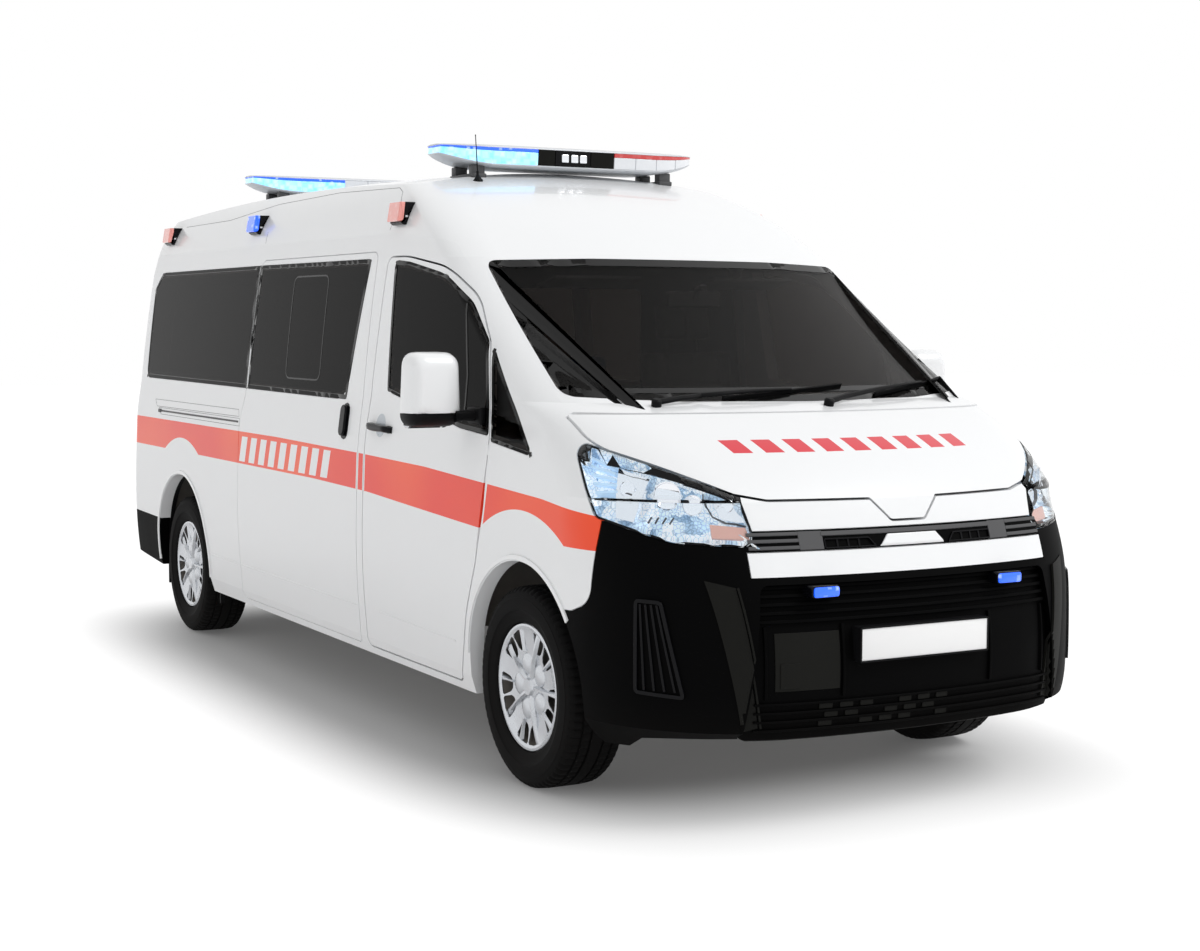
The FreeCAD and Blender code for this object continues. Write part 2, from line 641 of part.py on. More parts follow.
PIN_R = GAP / 2 - 0.3             # hinge barrels stand in the shut gaps
DOOR_BARREL_Z, DOOR_BARREL = 1148.0, 36.0
BONNET_BARREL_Y, BONNET_BARREL = -884.0, 22.0
TAIL_BARREL_Y, TAIL_BARREL = -420.0, 80.0
LEAF = 3.0                        # sheet that ties a barrel to its panel

door_foot = DOOR_PIN + Vector(0, 0, DOOR_BARREL_Z)
bonnet_foot = Vector(BONNET_BACK - GAP / 2, BONNET_BARREL_Y, BONNET_PIN_Z)
wing_hinges = [
    hinge_barrel(door_foot, Z_AXIS, DOOR_BARREL, PIN_R),
    Part.makeBox(GAP, LEAF, DOOR_BARREL, door_foot + Vector(0.5, LEAF / 2, 0)),
    hinge_barrel(bonnet_foot, Y_AXIS, BONNET_BARREL, PIN_R),
    Part.makeBox(GAP, BONNET_BARREL, LEAF, bonnet_foot + Vector(0.5 - GAP, 0, -LEAF)),
]
wings_right = min(wings.Solids, key=lambda solid: solid.CenterOfMass.y)
feature("front_wings", both(wings_right.multiFuse(wing_hinges)))

tail_x = TAIL + body_row(TAILGATE_PIN_Z)[3] - 1
tail_pin = Vector(tail_x, TAIL_BARREL_Y, TAILGATE_PIN_Z)
LUG, LUG_DEPTH = 34.0, 12.0
tail_barrel = hinge_barrel(tail_pin, Y_AXIS, TAIL_BARREL, PIN_R).fuse(
    Part.makeBox(LUG, TAIL_BARREL, LUG_DEPTH, tail_pin + Vector(-PIN_R, 0, 0.5)))
tail_lug = both(Part.makeBox(LUG, TAIL_BARREL, LUG_DEPTH,
                             tail_pin + Vector(-PIN_R, 0, -GAP / 2 - LUG_DEPTH)))
feature("roof_panel", roof)
feature("body_side_right", side_right.fuse(tail_barrel))
feature("body_side_left", side_left.fuse(mirrored(tail_barrel)))
feature("front_bumper", front_bumper)
feature("nose_panels", nose_panels)
feature("grilles", Part.Compound([bands["strip"], lower_grille]))
feature("headlights", headlights)
plate_carrier = Part.makeBox(60, 520, 112, Vector(NOSE - 60, -260, 540)).cut(GRILLE_FACE)
plate_carrier = max(plate_carrier.Solids, key=lambda solid: solid.CenterOfMass.x)
feature("number_plate", plate_carrier)
feature("cowl_panel", cowl)
feature("windscreen", screen)
feature("fixed_side_windows", Part.Compound([
    quarter_pane, mirrored(quarter_pane), rear_pane, mirrored(rear_pane), mirrored(middle_pane)]))
feature("sliding_door", sliding_door)
feature("sliding_door_glass", middle_pane)
feature("rear_bumper", rear_bumper)
feature("tail_lamps", tail_lamps)
feature("bonnet", bonnet)
feature("tailgate", tailgate.multiFuse(tail_lug.Solids))
feature("tailgate_glass", tailgate_glass)

MIRROR_X = FRONT_AXLE - 402


def mirror(side):
    """Housing and arm of a door mirror, reaching out from the door's skin."""
    housing = prism([(-1000, 1240, 45), (-1000, 1512, 45), (-1212, 1512, 60), (-1212, 1240, 60)],
                    "front", MIRROR_X - 62, MIRROR_X + 58)
    arm = Part.makeBox(90, 190, 42, Vector(MIRROR_X - 20, -1060, 1262))
    foot = Part.makeBox(112, 60, 64, Vector(MIRROR_X - 10, -985, 1250))
    whole = housing.multiFuse([arm, foot]).cut(OUTER)
    return whole if side < 0 else mirrored(whole)


for name, side in (("right", -1), ("left", 1)):
    feature("front_door_" + name, door if side < 0 else mirrored(door))
    feature("front_door_glass_" + name, door_pane if side < 0 else mirrored(door_pane))
    feature("door_mirror_" + name, mirror(side))

# ---------------------------------------------------------------- floor, bulkhead, frame
WELL = size("well_sheet")
LINING = 895.0                    # interior pieces stay inside this, clear of the doors
FLOOR_FRONT = FRONT_AXLE - 447
FIREWALL = FRONT_AXLE - 302
REAR_WELL_INNER = WHEEL_Y - 185
rear_well = both(wheel_arch(*REAR_ARCH, 14, REAR_WELL_INNER, FAR))
rear_sheet = both(wheel_arch(*REAR_ARCH, 14 + WELL, REAR_WELL_INNER - WELL, LINING))
rear_sheet = rear_sheet.cut(Part.makeBox(8000, 3000, UNDER, Vector(-4000, -1500, 0)))
plate = Part.makeBox(FLOOR_FRONT - TAIL, 2 * HALF, size("floor_depth"), Vector(TAIL, -HALF, UNDER))
plate = plate.common(INNER).cut(
    prism(TAILGATE, "front", TAIL - 100, TAIL + 300, 12).cut(CLEAR_OF_DOORS))
tongue = Part.makeBox(FIREWALL - FLOOR_FRONT, 2 * (size("well_inner") - WELL), size("floor_depth"),
                      Vector(FLOOR_FRONT, WELL - size("well_inner"), UNDER))
door_notch = both(Part.makeBox(FLOOR_FRONT + 100 - (FRONT_AXLE - 1440), 200, 100,
                               Vector(FRONT_AXLE - 1410, -LINING - 200, UNDER - 30)))
slider_notch = Part.makeBox(1560, 200, 100, Vector(FRONT_AXLE - 2980, -LINING - 200, UNDER - 30))
floor_pan = plate.multiFuse([tongue, rear_sheet]).cut(rear_well).cut(door_notch).cut(slider_notch)
feature("floor_pan", floor_pan)

front_well = both(wheel_arch(*FRONT_ARCH, 44, size("well_inner"), FAR))
front_sheet = both(wheel_arch(*FRONT_ARCH, 44 + WELL, size("well_inner") - WELL, LINING))
firewall = prism([(FIREWALL, UNDER), (FIREWALL + WELL, UNDER), (FIREWALL + WELL, 1174),
                  (FIREWALL + 560, 1234), (FIREWALL + 560, 1240), (FIREWALL, 1180)],
                 "side", -FAR, FAR).common(INNER)
firewall = firewall.cut(both(
    Part.makeBox(400, 300, 1400, Vector(FRONT_AXLE - 500, -LINING - 200, 0)).cut(CLEAR_OF_DOORS)))
below = Part.makeBox(3000, 3000, UNDER - 60, Vector(0, -1500, 0))
towers = [on_axis(side, 455 + HUB_FIT, 44, 60) for side in (-1, 1)]
bulkhead = firewall.multiFuse([front_sheet]).cut(front_well).cut(below).multiFuse(towers)
feature("front_bulkhead", bulkhead)

RAIL_Y, RAIL_W, RAIL_D = size("rail_offset"), size("rail_width"), size("rail_depth")
RAIL_Z = UNDER - RAIL_D
rail_start, rail_end = TAIL + 90, NOSE - 130
rails = both(Part.makeBox(rail_end - rail_start, RAIL_W, RAIL_D,
                          Vector(rail_start, -RAIL_Y - RAIL_W / 2, RAIL_Z)))
cross_members = [Part.makeBox(80, 2 * RAIL_Y, 54, Vector(x, -RAIL_Y, UNDER - 54))
                 for x in (FRONT_AXLE - 842, FRONT_AXLE - 2142, REAR_AXLE + 720, TAIL + 850)]
bumper_beam = Part.makeBox(260, 1300, 110, Vector(NOSE - 210, -650, RAIL_Z)).common(INNER)
rear_beam = Part.makeBox(120, 1300, 110, Vector(TAIL + 20, -650, RAIL_Z)).common(INNER)
TOWBAR_X, TOWBAR_HOLE = 103.0, 6.5  # bolt pattern under the rear beam
subframe = Part.makeBox(180, 2 * RAIL_Y + RAIL_W, 70, Vector(FRONT_AXLE - 90, -RAIL_Y - RAIL_W / 2, 312))
posts = both(Part.makeBox(120, RAIL_W, RAIL_Z - 312, Vector(FRONT_AXLE - 60, -RAIL_Y - RAIL_W / 2, 312)))


def lower_arm(side):
    """Wishbone from the subframe to just under the steering knuckle."""
    end_point, direction = steer_axis(side)
    eye = on_axis(side, -182 - HUB_FIT, 36, 50)
    centre = end_point + direction * -160
    inner_y = side * (RAIL_Y + 30)
    tips = [Vector(FRONT_AXLE - 85, inner_y, 342), Vector(FRONT_AXLE + 85, inner_y, 342),
            Vector(FRONT_AXLE + 24, centre.y, centre.z), Vector(FRONT_AXLE - 24, centre.y, centre.z)]
    sheet_face = Part.Face(Part.makePolygon(tips + [tips[0]]))
    return sheet_face.extrude(Vector(0, 0, -28)).fuse(eye)


spring_reach, spring_y = 670.0, 540.0
hangers = [both(Part.makeBox(70, 130, UNDER - 490, Vector(x - 35, -RAIL_Y - RAIL_W / 2 - 130, 490)))
           for x in (REAR_AXLE - spring_reach + 20, REAR_AXLE + spring_reach - 20)]
frame = rails.Solids[0].multiFuse(rails.Solids[1:] + cross_members + [bumper_beam, rear_beam, subframe]
                                  + posts.Solids + [lower_arm(-1), lower_arm(1)]
                                  + [solid for pair in hangers for solid in pair.Solids])
towbar_holes = [Part.makeCylinder(TOWBAR_HOLE, 200, Vector(TAIL + x, y, RAIL_Z - 20))
                for x in (TOWBAR_X - 20, TOWBAR_X + 20) for y in (-250, 250)]
feature("chassis_frame", frame.cut(towbar_holes))

# ---------------------------------------------------------------- running gear
ENGINE_BACK = FRONT_AXLE - 182
finish(box("engine_block", 700.0, 540.0, 640.0, (ENGINE_BACK, -270, 382)), "engine_block")

DIFFERENTIAL_R = 128.0
axle_tube = cylinder("axle_tube", 40.0, "Sizes.track + %g" % (2 * (HUB_FACE - HUB_FIT)),
                     (REAR_AXLE, "-Sizes.track / 2 - %g" % (HUB_FACE - HUB_FIT), "Sizes.tyre_radius"),
                     X_AXIS, -90)
differential = doc.addObject("Part::Sphere", "differential")
bind(differential, Radius=DIFFERENTIAL_R, **at(REAR_AXLE, 0, "Sizes.tyre_radius"))
brakes = [cylinder("drum_%d" % (side + 1), 140.0, 60.0,
                   (REAR_AXLE, side * (WHEEL_Y - 40) - 30, "Sizes.tyre_radius"), X_AXIS, -90)
          for side in (-1, 1)]
finish(fuse("rear_axle", axle_tube, differential, *brakes), "rear_axle")

shaft_front = Vector(ENGINE_BACK - 1.2, 0, 470)
shaft_rear = Vector(REAR_AXLE + DIFFERENTIAL_R + HUB_FIT, 0, HUB_Z)
finish(rod("propeller_shaft", 36.0, shaft_front, shaft_rear - shaft_front), "propeller_shaft")


def leaf_spring():
    """One bowed leaf pack over the axle tube, its ends under the hangers."""
    low, rise, thick = HUB_Z + 40, 490 - 36 - (HUB_Z + 40), 36
    ends = [Vector(-spring_reach, 0, low + rise), Vector(0, 0, low), Vector(spring_reach, 0, low + rise)]
    tops = [p + Vector(0, 0, thick) for p in ends]
    wire = Part.Wire([Part.Arc(*ends).toShape(), Part.LineSegment(ends[2], tops[2]).toShape(),
                      Part.Arc(tops[2], tops[1], tops[0]).toShape(),
                      Part.LineSegment(tops[0], ends[0]).toShape()])
    leaf = Part.Face(wire).extrude(Vector(0, 70, 0))
    leaf.translate(Vector(REAR_AXLE, -spring_y - 35, 0))
    return leaf


feature("leaf_springs", both(leaf_spring()))

pipe = cylinder("exhaust_pipe", 30.0, 2500.0, (FRONT_AXLE - 182 - 2500, -210, 430), Y_AXIS, 90)
silencer = box("silencer", 820.0, 190.0, 130.0, (FRONT_AXLE - 2200, -305, 365))
finish(fuse("exhaust", pipe, silencer), "exhaust")
TANK = [(-560, 300, 50), (560, 300, 50), (560, UNDER, 20), (-560, UNDER, 20)]
finish(pad("fuel_tank", "XZ_Plane", TANK, 360.0, (FRONT_AXLE - 2200, 660, 0)), "fuel_tank")
spare = cylinder("spare_wheel", 335.0, "Sizes.tyre_width - 25",
                 (TAIL + 485, 0, "%g - (Sizes.tyre_width - 25)" % UNDER))
finish(spare, "spare_wheel")

# ---------------------------------------------------------------- cab and patient compartment
DASH = [(-302, 870), (-440, 890, 40), (-505, 1040, 60), (-512, 1130, 40), (-440, 1196, 40),
        (-300, 1215, 60), (180, 1262, 10), (180, 1231.7), (-302, 1180)]
dash_body = pad("dash_body", "XZ_Plane", shifted(DASH, FRONT_AXLE, 0), 1560.0)
COLUMN = 250.0
column_start = STEERING_AT + STEERING_DIRECTION * (12 + HUB_FIT)
column = rod("steering_column", 40.0, column_start, STEERING_DIRECTION * COLUMN)
finish(fuse("dashboard", dash_body, column), "dashboard")

SEAT = [(-1060, FLOOR), (-700, FLOOR), (-690, 810, 30), (-600, 840, 30), (-590, 930, 30),
        (-660, 968, 60), (-960, 940, 60), (-1100, 1700, 50), (-1210, 1700, 50),
        (-1110, 900, 60), (-1060, 830, 30)]
seats = [pad("seat_" + name, "XZ_Plane", shifted(SEAT, FRONT_AXLE, 0), "Sizes.seat_width",
             (0, side * 400, 0)) for name, side in (("right", -1), ("left", 1))]
finish(fuse("front_seats", *seats), "front_seats")

PARTITION_X = FRONT_AXLE - 1427
partition = Part.makeBox(16, 2 * HALF, ROOF, Vector(PARTITION_X, -HALF, FLOOR)).common(INNER)
partition = partition.cut(prism([(-360, 1330, 40), (360, 1330, 40), (360, 1760, 40), (-360, 1760, 40)],
                                "front", PARTITION_X - 20, PARTITION_X + 40))
feature("partition", partition)

WALL_FACE = LINING - 20            # furniture along the side walls
BENCH_X, BENCH_L = TAIL + 330, 1480.0
bench_top = box("bench_top", BENCH_L, 420.0, 80.0, (BENCH_X, -WALL_FACE, FLOOR + 260))
bench_front = box("bench_front", BENCH_L, 20.0, 260.0, (BENCH_X, -WALL_FACE + 400, FLOOR))
bench_pad = box("bench_pad", BENCH_L, 410.0, 70.0, (BENCH_X, -WALL_FACE, FLOOR + 340))
bench_back = box("bench_back", BENCH_L, 50.0, 250.0, (BENCH_X, -WALL_FACE, FLOOR + 410))
finish(fuse("side_bench", bench_top, bench_front, bench_pad, bench_back), "side_bench")

cabinet_low = box("cabinet_low", 1840.0, 350.0, 640.0, (REAR_AXLE + 470, WALL_FACE - 350, FLOOR))
cabinet_high = box("cabinet_high", 2700.0, 350.0, 380.0, (REAR_AXLE - 390, WALL_FACE - 350, FLOOR + 260))
finish(fuse("medical_cabinet", cabinet_low, cabinet_high), "medical_cabinet")

CHAIR = [(-1690, FLOOR), (-1950, FLOOR), (-1960, 850, 30), (-2040, 890, 30), (-2040, 980, 40),
         (-1700, 965, 60), (-1600, 1500, 40), (-1500, 1500, 40), (-1580, 930, 60), (-1690, 860, 30)]
chair = pad("attendant_seat", "XZ_Plane", shifted(CHAIR, FRONT_AXLE, 0), 440.0, (0, 60, 0))
finish(chair, "attendant_seat")

STRETCHER_X, STRETCHER_Y, STRETCHER_L = TAIL + 380, 190.0, 1900.0
stretcher_bits = []
for side in (-1, 1):
    stretcher_bits.append(cylinder("stretcher_rail_%d" % (side + 1), 17.0, STRETCHER_L,
                                   (STRETCHER_X, STRETCHER_Y + side * 255, FLOOR + 330), Y_AXIS, 90))
    for end in (160, STRETCHER_L - 160):
        stretcher_bits.append(box("stretcher_leg_%d_%d" % (side + 1, end), 34.0, 34.0, 250.0,
                                  (STRETCHER_X + end - 17, STRETCHER_Y + side * 255 - 17, FLOOR + 80)))
        stretcher_bits.append(cylinder("stretcher_castor_%d_%d" % (side + 1, end), 60.0, 34.0,
                                       (STRETCHER_X + end, STRETCHER_Y + side * 255 - 17, FLOOR + 60),
                                       X_AXIS, -90))
for end in (160, STRETCHER_L - 160):
    stretcher_bits.append(box("stretcher_tie_%d" % end, 34.0, 510.0, 30.0,
                              (STRETCHER_X + end - 17, STRETCHER_Y - 255, FLOOR + 110)))
stretcher_bits.append(box("mattress", STRETCHER_L - 40, 500.0, 80.0,
                          (STRETCHER_X + 20, STRETCHER_Y - 250, FLOOR + 335)))
finish(fuse("stretcher", *stretcher_bits), "stretcher")

# ---------------------------------------------------------------- lights on the roof and nose
BAR_L, BAR_W, BAR_HEIGHT = size("light_bar_length"), size("light_bar_width"), 94.0


def light_bar(centre_x, base_z):
    """A level bar with rounded ends, on two feet that meet the domed roof."""
    half_l, half_w = BAR_L / 2, BAR_W / 2
    bar = prism([(centre_x - half_w, -half_l, 110), (centre_x + half_w, -half_l, 110),
                 (centre_x + half_w, half_l, 110), (centre_x - half_w, half_l, 110)],
                "plan", base_z, base_z + BAR_HEIGHT)
    foot = both(Part.makeBox(150, 60, 130, Vector(centre_x - 75, -480, base_z - 110)))
    return bar.multiFuse(foot.Solids).cut(OUTER)


def roof_at(x):
    return ROOF - (x - CROWN_X) ** 2 / (2 * CROWN_ALONG)


bars = [light_bar(x, roof_at(x) + 12) for x in (FRONT_AXLE - 1487, REAR_AXLE + 48)]
feature("light_bars", Part.Compound(bars))

ANTENNA_X, ANTENNA_Y = FRONT_AXLE - 1303, -490.0
ANTENNA_LEAN, ANTENNA_LENGTH = -8.0, 192.0   # degrees from upright, tip to the rear
plumb_line = Part.makeLine(Vector(ANTENNA_X, ANTENNA_Y, 0), Vector(ANTENNA_X, ANTENNA_Y, ABOVE))
antenna_foot = Vector(ANTENNA_X, ANTENNA_Y, OUTER.common(plumb_line).BoundBox.ZMax)
antenna = Part.makeCone(22, 6, 34, antenna_foot - Vector(0, 0, 10))
rod_way = Rotation(Y_AXIS, ANTENNA_LEAN).multVec(Z_AXIS)
antenna = antenna.fuse(Part.makeCylinder(2.5, ANTENNA_LENGTH, antenna_foot, rod_way))
feature("antenna", antenna.cut(OUTER))

MARKERS = [(FRONT_AXLE - 1290, 2049), (REAR_AXLE + 805, 2077), (TAIL + 460, 2073)]
MARKER_HALF = 57.5                # half its length along the vehicle
MARKER_CASE = [(-60, 46), (44, 46, 10), (56, -30, 8), (30, -46, 10), (-60, -46)]  # out, up, radius
lights = []
for x, z in MARKERS:
    case_shape = [(-side_at(z) - out, z + up, *radius) for out, up, *radius in MARKER_CASE]
    case = prism(case_shape, "front", x - MARKER_HALF, x + MARKER_HALF).cut(OUTER)
    lights += [case, mirrored(case)]
grille_lamp = Part.makeBox(60, 110, 42, Vector(NOSE - 92, -430, 752)).cut(GRILLE_FACE)
grille_lamp = max(grille_lamp.Solids, key=lambda solid: solid.CenterOfMass.x)
lights += [grille_lamp, mirrored(grille_lamp)]
feature("warning_lights", Part.Compound(lights))

# ---------------------------------------------------------------- check and write
doc.recompute()
os.makedirs("parts", exist_ok=True)
for item in doc.Objects:
    if "Invalid" in item.State or "Error" in item.State:
        raise RuntimeError("%s failed" % item.Label)
for item in PARTS:
    if item.Shape.isNull() or not item.Shape.isValid():
        raise RuntimeError("%s has no valid shape" % item.Label)
for item in PARTS:
    item.Shape.exportStep("parts/%s.step" % item.Label)
print("%d sub-parts" % len(PARTS))
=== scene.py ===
"""Looks of the high-roof ambulance van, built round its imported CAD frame."""
import json
import random
from math import asin, atan2, ceil, copysign, cos, exp, hypot, pi, radians, sin, sqrt

import bmesh
import bpy
from mathutils import Matrix, Quaternion, Vector
from mathutils.bvhtree import BVHTree


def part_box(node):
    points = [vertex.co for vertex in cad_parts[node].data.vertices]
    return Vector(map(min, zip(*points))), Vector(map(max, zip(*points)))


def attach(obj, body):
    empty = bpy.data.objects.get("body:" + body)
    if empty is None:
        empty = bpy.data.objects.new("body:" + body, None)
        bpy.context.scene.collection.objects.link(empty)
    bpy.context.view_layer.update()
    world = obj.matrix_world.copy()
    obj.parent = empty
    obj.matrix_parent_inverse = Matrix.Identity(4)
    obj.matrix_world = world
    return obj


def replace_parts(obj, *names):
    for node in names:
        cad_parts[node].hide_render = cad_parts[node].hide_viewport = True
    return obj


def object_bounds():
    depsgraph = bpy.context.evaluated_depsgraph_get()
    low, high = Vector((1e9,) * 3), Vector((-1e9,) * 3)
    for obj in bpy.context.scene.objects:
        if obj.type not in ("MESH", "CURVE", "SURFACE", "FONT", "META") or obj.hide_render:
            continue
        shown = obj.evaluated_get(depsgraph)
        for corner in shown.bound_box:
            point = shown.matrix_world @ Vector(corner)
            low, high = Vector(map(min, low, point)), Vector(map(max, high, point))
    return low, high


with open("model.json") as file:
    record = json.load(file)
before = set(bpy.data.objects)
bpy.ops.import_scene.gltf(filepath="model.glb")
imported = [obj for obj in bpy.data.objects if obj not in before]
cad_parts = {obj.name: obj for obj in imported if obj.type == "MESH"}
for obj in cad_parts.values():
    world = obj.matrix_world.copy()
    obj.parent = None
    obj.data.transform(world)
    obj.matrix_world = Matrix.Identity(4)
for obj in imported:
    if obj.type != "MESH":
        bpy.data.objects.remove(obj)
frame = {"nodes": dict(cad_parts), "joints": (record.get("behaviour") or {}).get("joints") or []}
cad_low, cad_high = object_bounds()
random.seed(7)

JOINTS = {joint["name"]: joint for joint in frame["joints"]}
CORNERS = ("front_right", "front_left", "rear_right", "rear_left")
HUBS = {corner: Vector(JOINTS["spin_" + corner]["pos_m"]) for corner in CORNERS}
FRONT_AXLE, REAR_AXLE = HUBS["front_right"].x, HUBS["rear_right"].x
NOSE, TAIL = cad_high.x, cad_low.x
TYRE_R = HUBS["front_right"].z
Y, Z = Vector((0, 1, 0)), Vector((0, 0, 1))
SIDES = (("right", -1), ("left", 1))

# ------------------------------------------------------------------ stage, camera and light
scene = bpy.context.scene
scene.view_settings.view_transform = "Standard"


def make_camera():
    """Camera at eye height, off the right front corner."""
    data = bpy.data.cameras.new("camera")
    data.lens = 57.61
    data.sensor_width = 36.0
    data.shift_x, data.shift_y = 0.00815, 0.00114
    camera = bpy.data.objects.new("camera", data)
    scene.collection.objects.link(camera)
    azimuth, elevation, roll = radians(150.989), radians(-4.604), radians(0.199)
    forward = Vector((cos(elevation) * cos(azimuth),
                      cos(elevation) * sin(azimuth), sin(elevation)))
    turn = forward.to_track_quat("-Z", "Y") @ Quaternion(Z, roll)
    camera.rotation_mode = "QUATERNION"
    camera.rotation_quaternion = turn
    camera.location = (7.815, -3.940, 1.618)
    data.clip_end = 200.0
    scene.camera = camera


def add_sun(energy, way, angle):
    """A soft sun that shines along a direction."""
    data = bpy.data.lights.new("sun", "SUN")
    data.energy, data.angle = energy, angle
    lamp = bpy.data.objects.new("sun", data)
    lamp.rotation_euler = Vector(way).to_track_quat("-Z", "Y").to_euler()
    scene.collection.objects.link(lamp)


# ------------------------------------------------------------------ node helpers
class Nodes:
    """Adds and links the nodes of one tree."""

    def __init__(self, tree):
        self.tree = tree

    def add(self, kind, inputs=None, **settings):
        node = self.tree.nodes.new("ShaderNode" + kind)
        for key, value in settings.items():
            setattr(node, key, value)
        for key, value in (inputs or {}).items():
            self.feed(node.inputs[key], value)
        return node

    def feed(self, socket, value):
        if isinstance(value, bpy.types.NodeSocket):
            self.tree.links.new(value, socket)
        elif isinstance(value, bpy.types.Node):
            self.tree.links.new(value.outputs[0], socket)
        else:
            socket.default_value = value

    def math(self, operation, a, b=0.0, clamp=False):
        node = self.add("Math", {0: a, 1: b}, operation=operation, use_clamp=clamp)
        return node.outputs[0]

    def plus(self, a, b, clamp=False):
        return self.math("ADD", a, b, clamp)

    def minus(self, a, b, clamp=False):
        return self.math("SUBTRACT", a, b, clamp)

    def times(self, a, b, clamp=False):
        return self.math("MULTIPLY", a, b, clamp)

    def place(self):
        """Where a point lies in its object."""
        return self.add("TexCoord").outputs["Object"]

    def mix(self, share, a, b):
        node = self.add("Mix", data_type="RGBA")
        for socket, value in ((0, share), (6, a), (7, b)):
            self.feed(node.inputs[socket], value)
        return node.outputs[2]

    def between(self, value, low, high):
        """1 where low < value < high."""
        over = self.math("GREATER_THAN", value, low)
        return self.math("MULTIPLY", over, self.math("LESS_THAN", value, high))

    def ramp(self, value, *stops):
        node = self.add("ValToRGB", {0: value})
        ramp = node.color_ramp
        while len(ramp.elements) < len(stops):
            ramp.elements.new(0.5)
        for element, (place, colour) in zip(ramp.elements, stops):
            element.position = place
            element.color = (*colour, 1) if len(colour) == 3 else colour
        return node.outputs[0]


def linked(name, bm):
    """A new object in the scene from a bmesh, which it uses up."""
    mesh = bpy.data.meshes.new(name)
    bm.to_mesh(mesh)
    bm.free()
    item = bpy.data.objects.new(name, mesh)
    scene.collection.objects.link(item)
    return item


def applied(item):
    """Replaces an object's mesh with the one its modifiers give."""
    graph = bpy.context.evaluated_depsgraph_get()
    item.data = bpy.data.meshes.new_from_object(item.evaluated_get(graph))
    item.modifiers.clear()
    return item


def make_world():
    """White round the object; a little less light from the world than its white."""
    world = bpy.data.worlds.new("studio")
    scene.world = world
    world.use_nodes = True
    world.node_tree.nodes.clear()
    n = Nodes(world.node_tree)
    path = n.add("LightPath")
    seen = n.math("MAXIMUM", path.outputs["Is Camera Ray"],
                  n.math("MAXIMUM", path.outputs["Is Glossy Ray"],
                         path.outputs["Is Transmission Ray"]))
    strength = n.plus(0.62, n.times(seen, 0.38))
    background = n.add("Background", {"Color": (1, 1, 1, 1), "Strength": strength})
    n.add("OutputWorld", {"Surface": background})


def group(name, inputs, outputs):
    """A node group with named sockets; returns its tree, its input node and its output node."""
    tree = bpy.data.node_groups.new(name, "ShaderNodeTree")
    for label, kind, value in inputs:
        socket = tree.interface.new_socket(label, in_out="INPUT", socket_type="NodeSocket" + kind)
        if value is not None:
            socket.default_value = value
    for label, kind in outputs:
        tree.interface.new_socket(label, in_out="OUTPUT", socket_type="NodeSocket" + kind)
    return tree, tree.nodes.new("NodeGroupInput"), tree.nodes.new("NodeGroupOutput")


def make_speckle():
    """Fine uneven surface: a bumped normal, and colour and roughness that wander a little."""
    tree, given, out = group(
        "surface_speckle",
        [("Scale", "Float", 200.0), ("Bump", "Float", 0.1), ("Depth", "Float", 0.0005),
         ("Color", "Color", (1, 1, 1, 1)), ("Color Spread", "Float", 0.1),
         ("Roughness", "Float", 0.5), ("Roughness Spread", "Float", 0.1)],
        [("Color", "Color"), ("Roughness", "Float"), ("Normal", "Vector")])
    n = Nodes(tree)
    place = n.place()
    fine = n.add("TexNoise", {"Vector": place, "Scale": given.outputs["Scale"], "Detail": 3.0})
    broad = n.add("TexNoise", {"Vector": place, "Scale": 3.0, "Detail": 5.0, "Roughness": 0.6})
    swing = n.minus(broad.outputs[0], 0.5)
    dark = n.plus(1.0, n.times(swing, given.outputs["Color Spread"]))
    tint = n.add("VectorMath", {0: given.outputs["Color"]}, operation="SCALE")
    n.feed(tint.inputs["Scale"], dark)
    rough = n.plus(given.outputs["Roughness"],
                   n.times(swing, given.outputs["Roughness Spread"]), clamp=True)
    bump = n.add("Bump", {"Strength": given.outputs["Bump"], "Height": fine.outputs[0]})
    n.feed(bump.inputs["Distance"], given.outputs["Depth"])
    for label, value in (("Color", tint.outputs[0]), ("Roughness", rough), ("Normal", bump)):
        n.feed(out.inputs[label], value)
    return tree


def make_dust():
    """Road dust: settles low on the body, broken up by noise."""
    tree, given, out = group(
        "road_dust",
        [("Color", "Color", (1, 1, 1, 1)), ("Dust", "Color", (0.42, 0.36, 0.29, 1)),
         ("Top", "Float", 0.75), ("Amount", "Float", 0.3)],
        [("Color", "Color"), ("Mask", "Float")])
    n = Nodes(tree)
    place = n.place()
    height = n.add("SeparateXYZ", {0: place}).outputs[2]
    low = n.minus(1.0, n.math("DIVIDE", height, given.outputs["Top"]), clamp=True)
    noise = n.add("TexNoise", {"Vector": place, "Scale": 9.0, "Detail": 6.0, "Roughness": 0.65})
    broken = n.times(low, n.plus(noise.outputs[0], 0.25))
    mask = n.times(broken, given.outputs["Amount"], clamp=True)
    n.feed(out.inputs["Color"], n.mix(mask, given.outputs["Color"], given.outputs["Dust"]))
    n.feed(out.inputs["Mask"], mask)
    return tree


SPECKLE, DUST = make_speckle(), make_dust()


def place_group(n, tree, inputs):
    """Puts a shared node group in a material and feeds it."""
    node = n.add("Group", node_tree=tree)
    for key, value in inputs.items():
        n.feed(node.inputs[key], value)
    return node


def recolour(n, colour):
    """Feeds a colour to the speckle group of a finish; returns the group's node."""
    speckle = next(node for node in n.tree.nodes if getattr(node, "node_tree", 0) == SPECKLE)
    n.feed(speckle.inputs["Color"], colour)
    return speckle


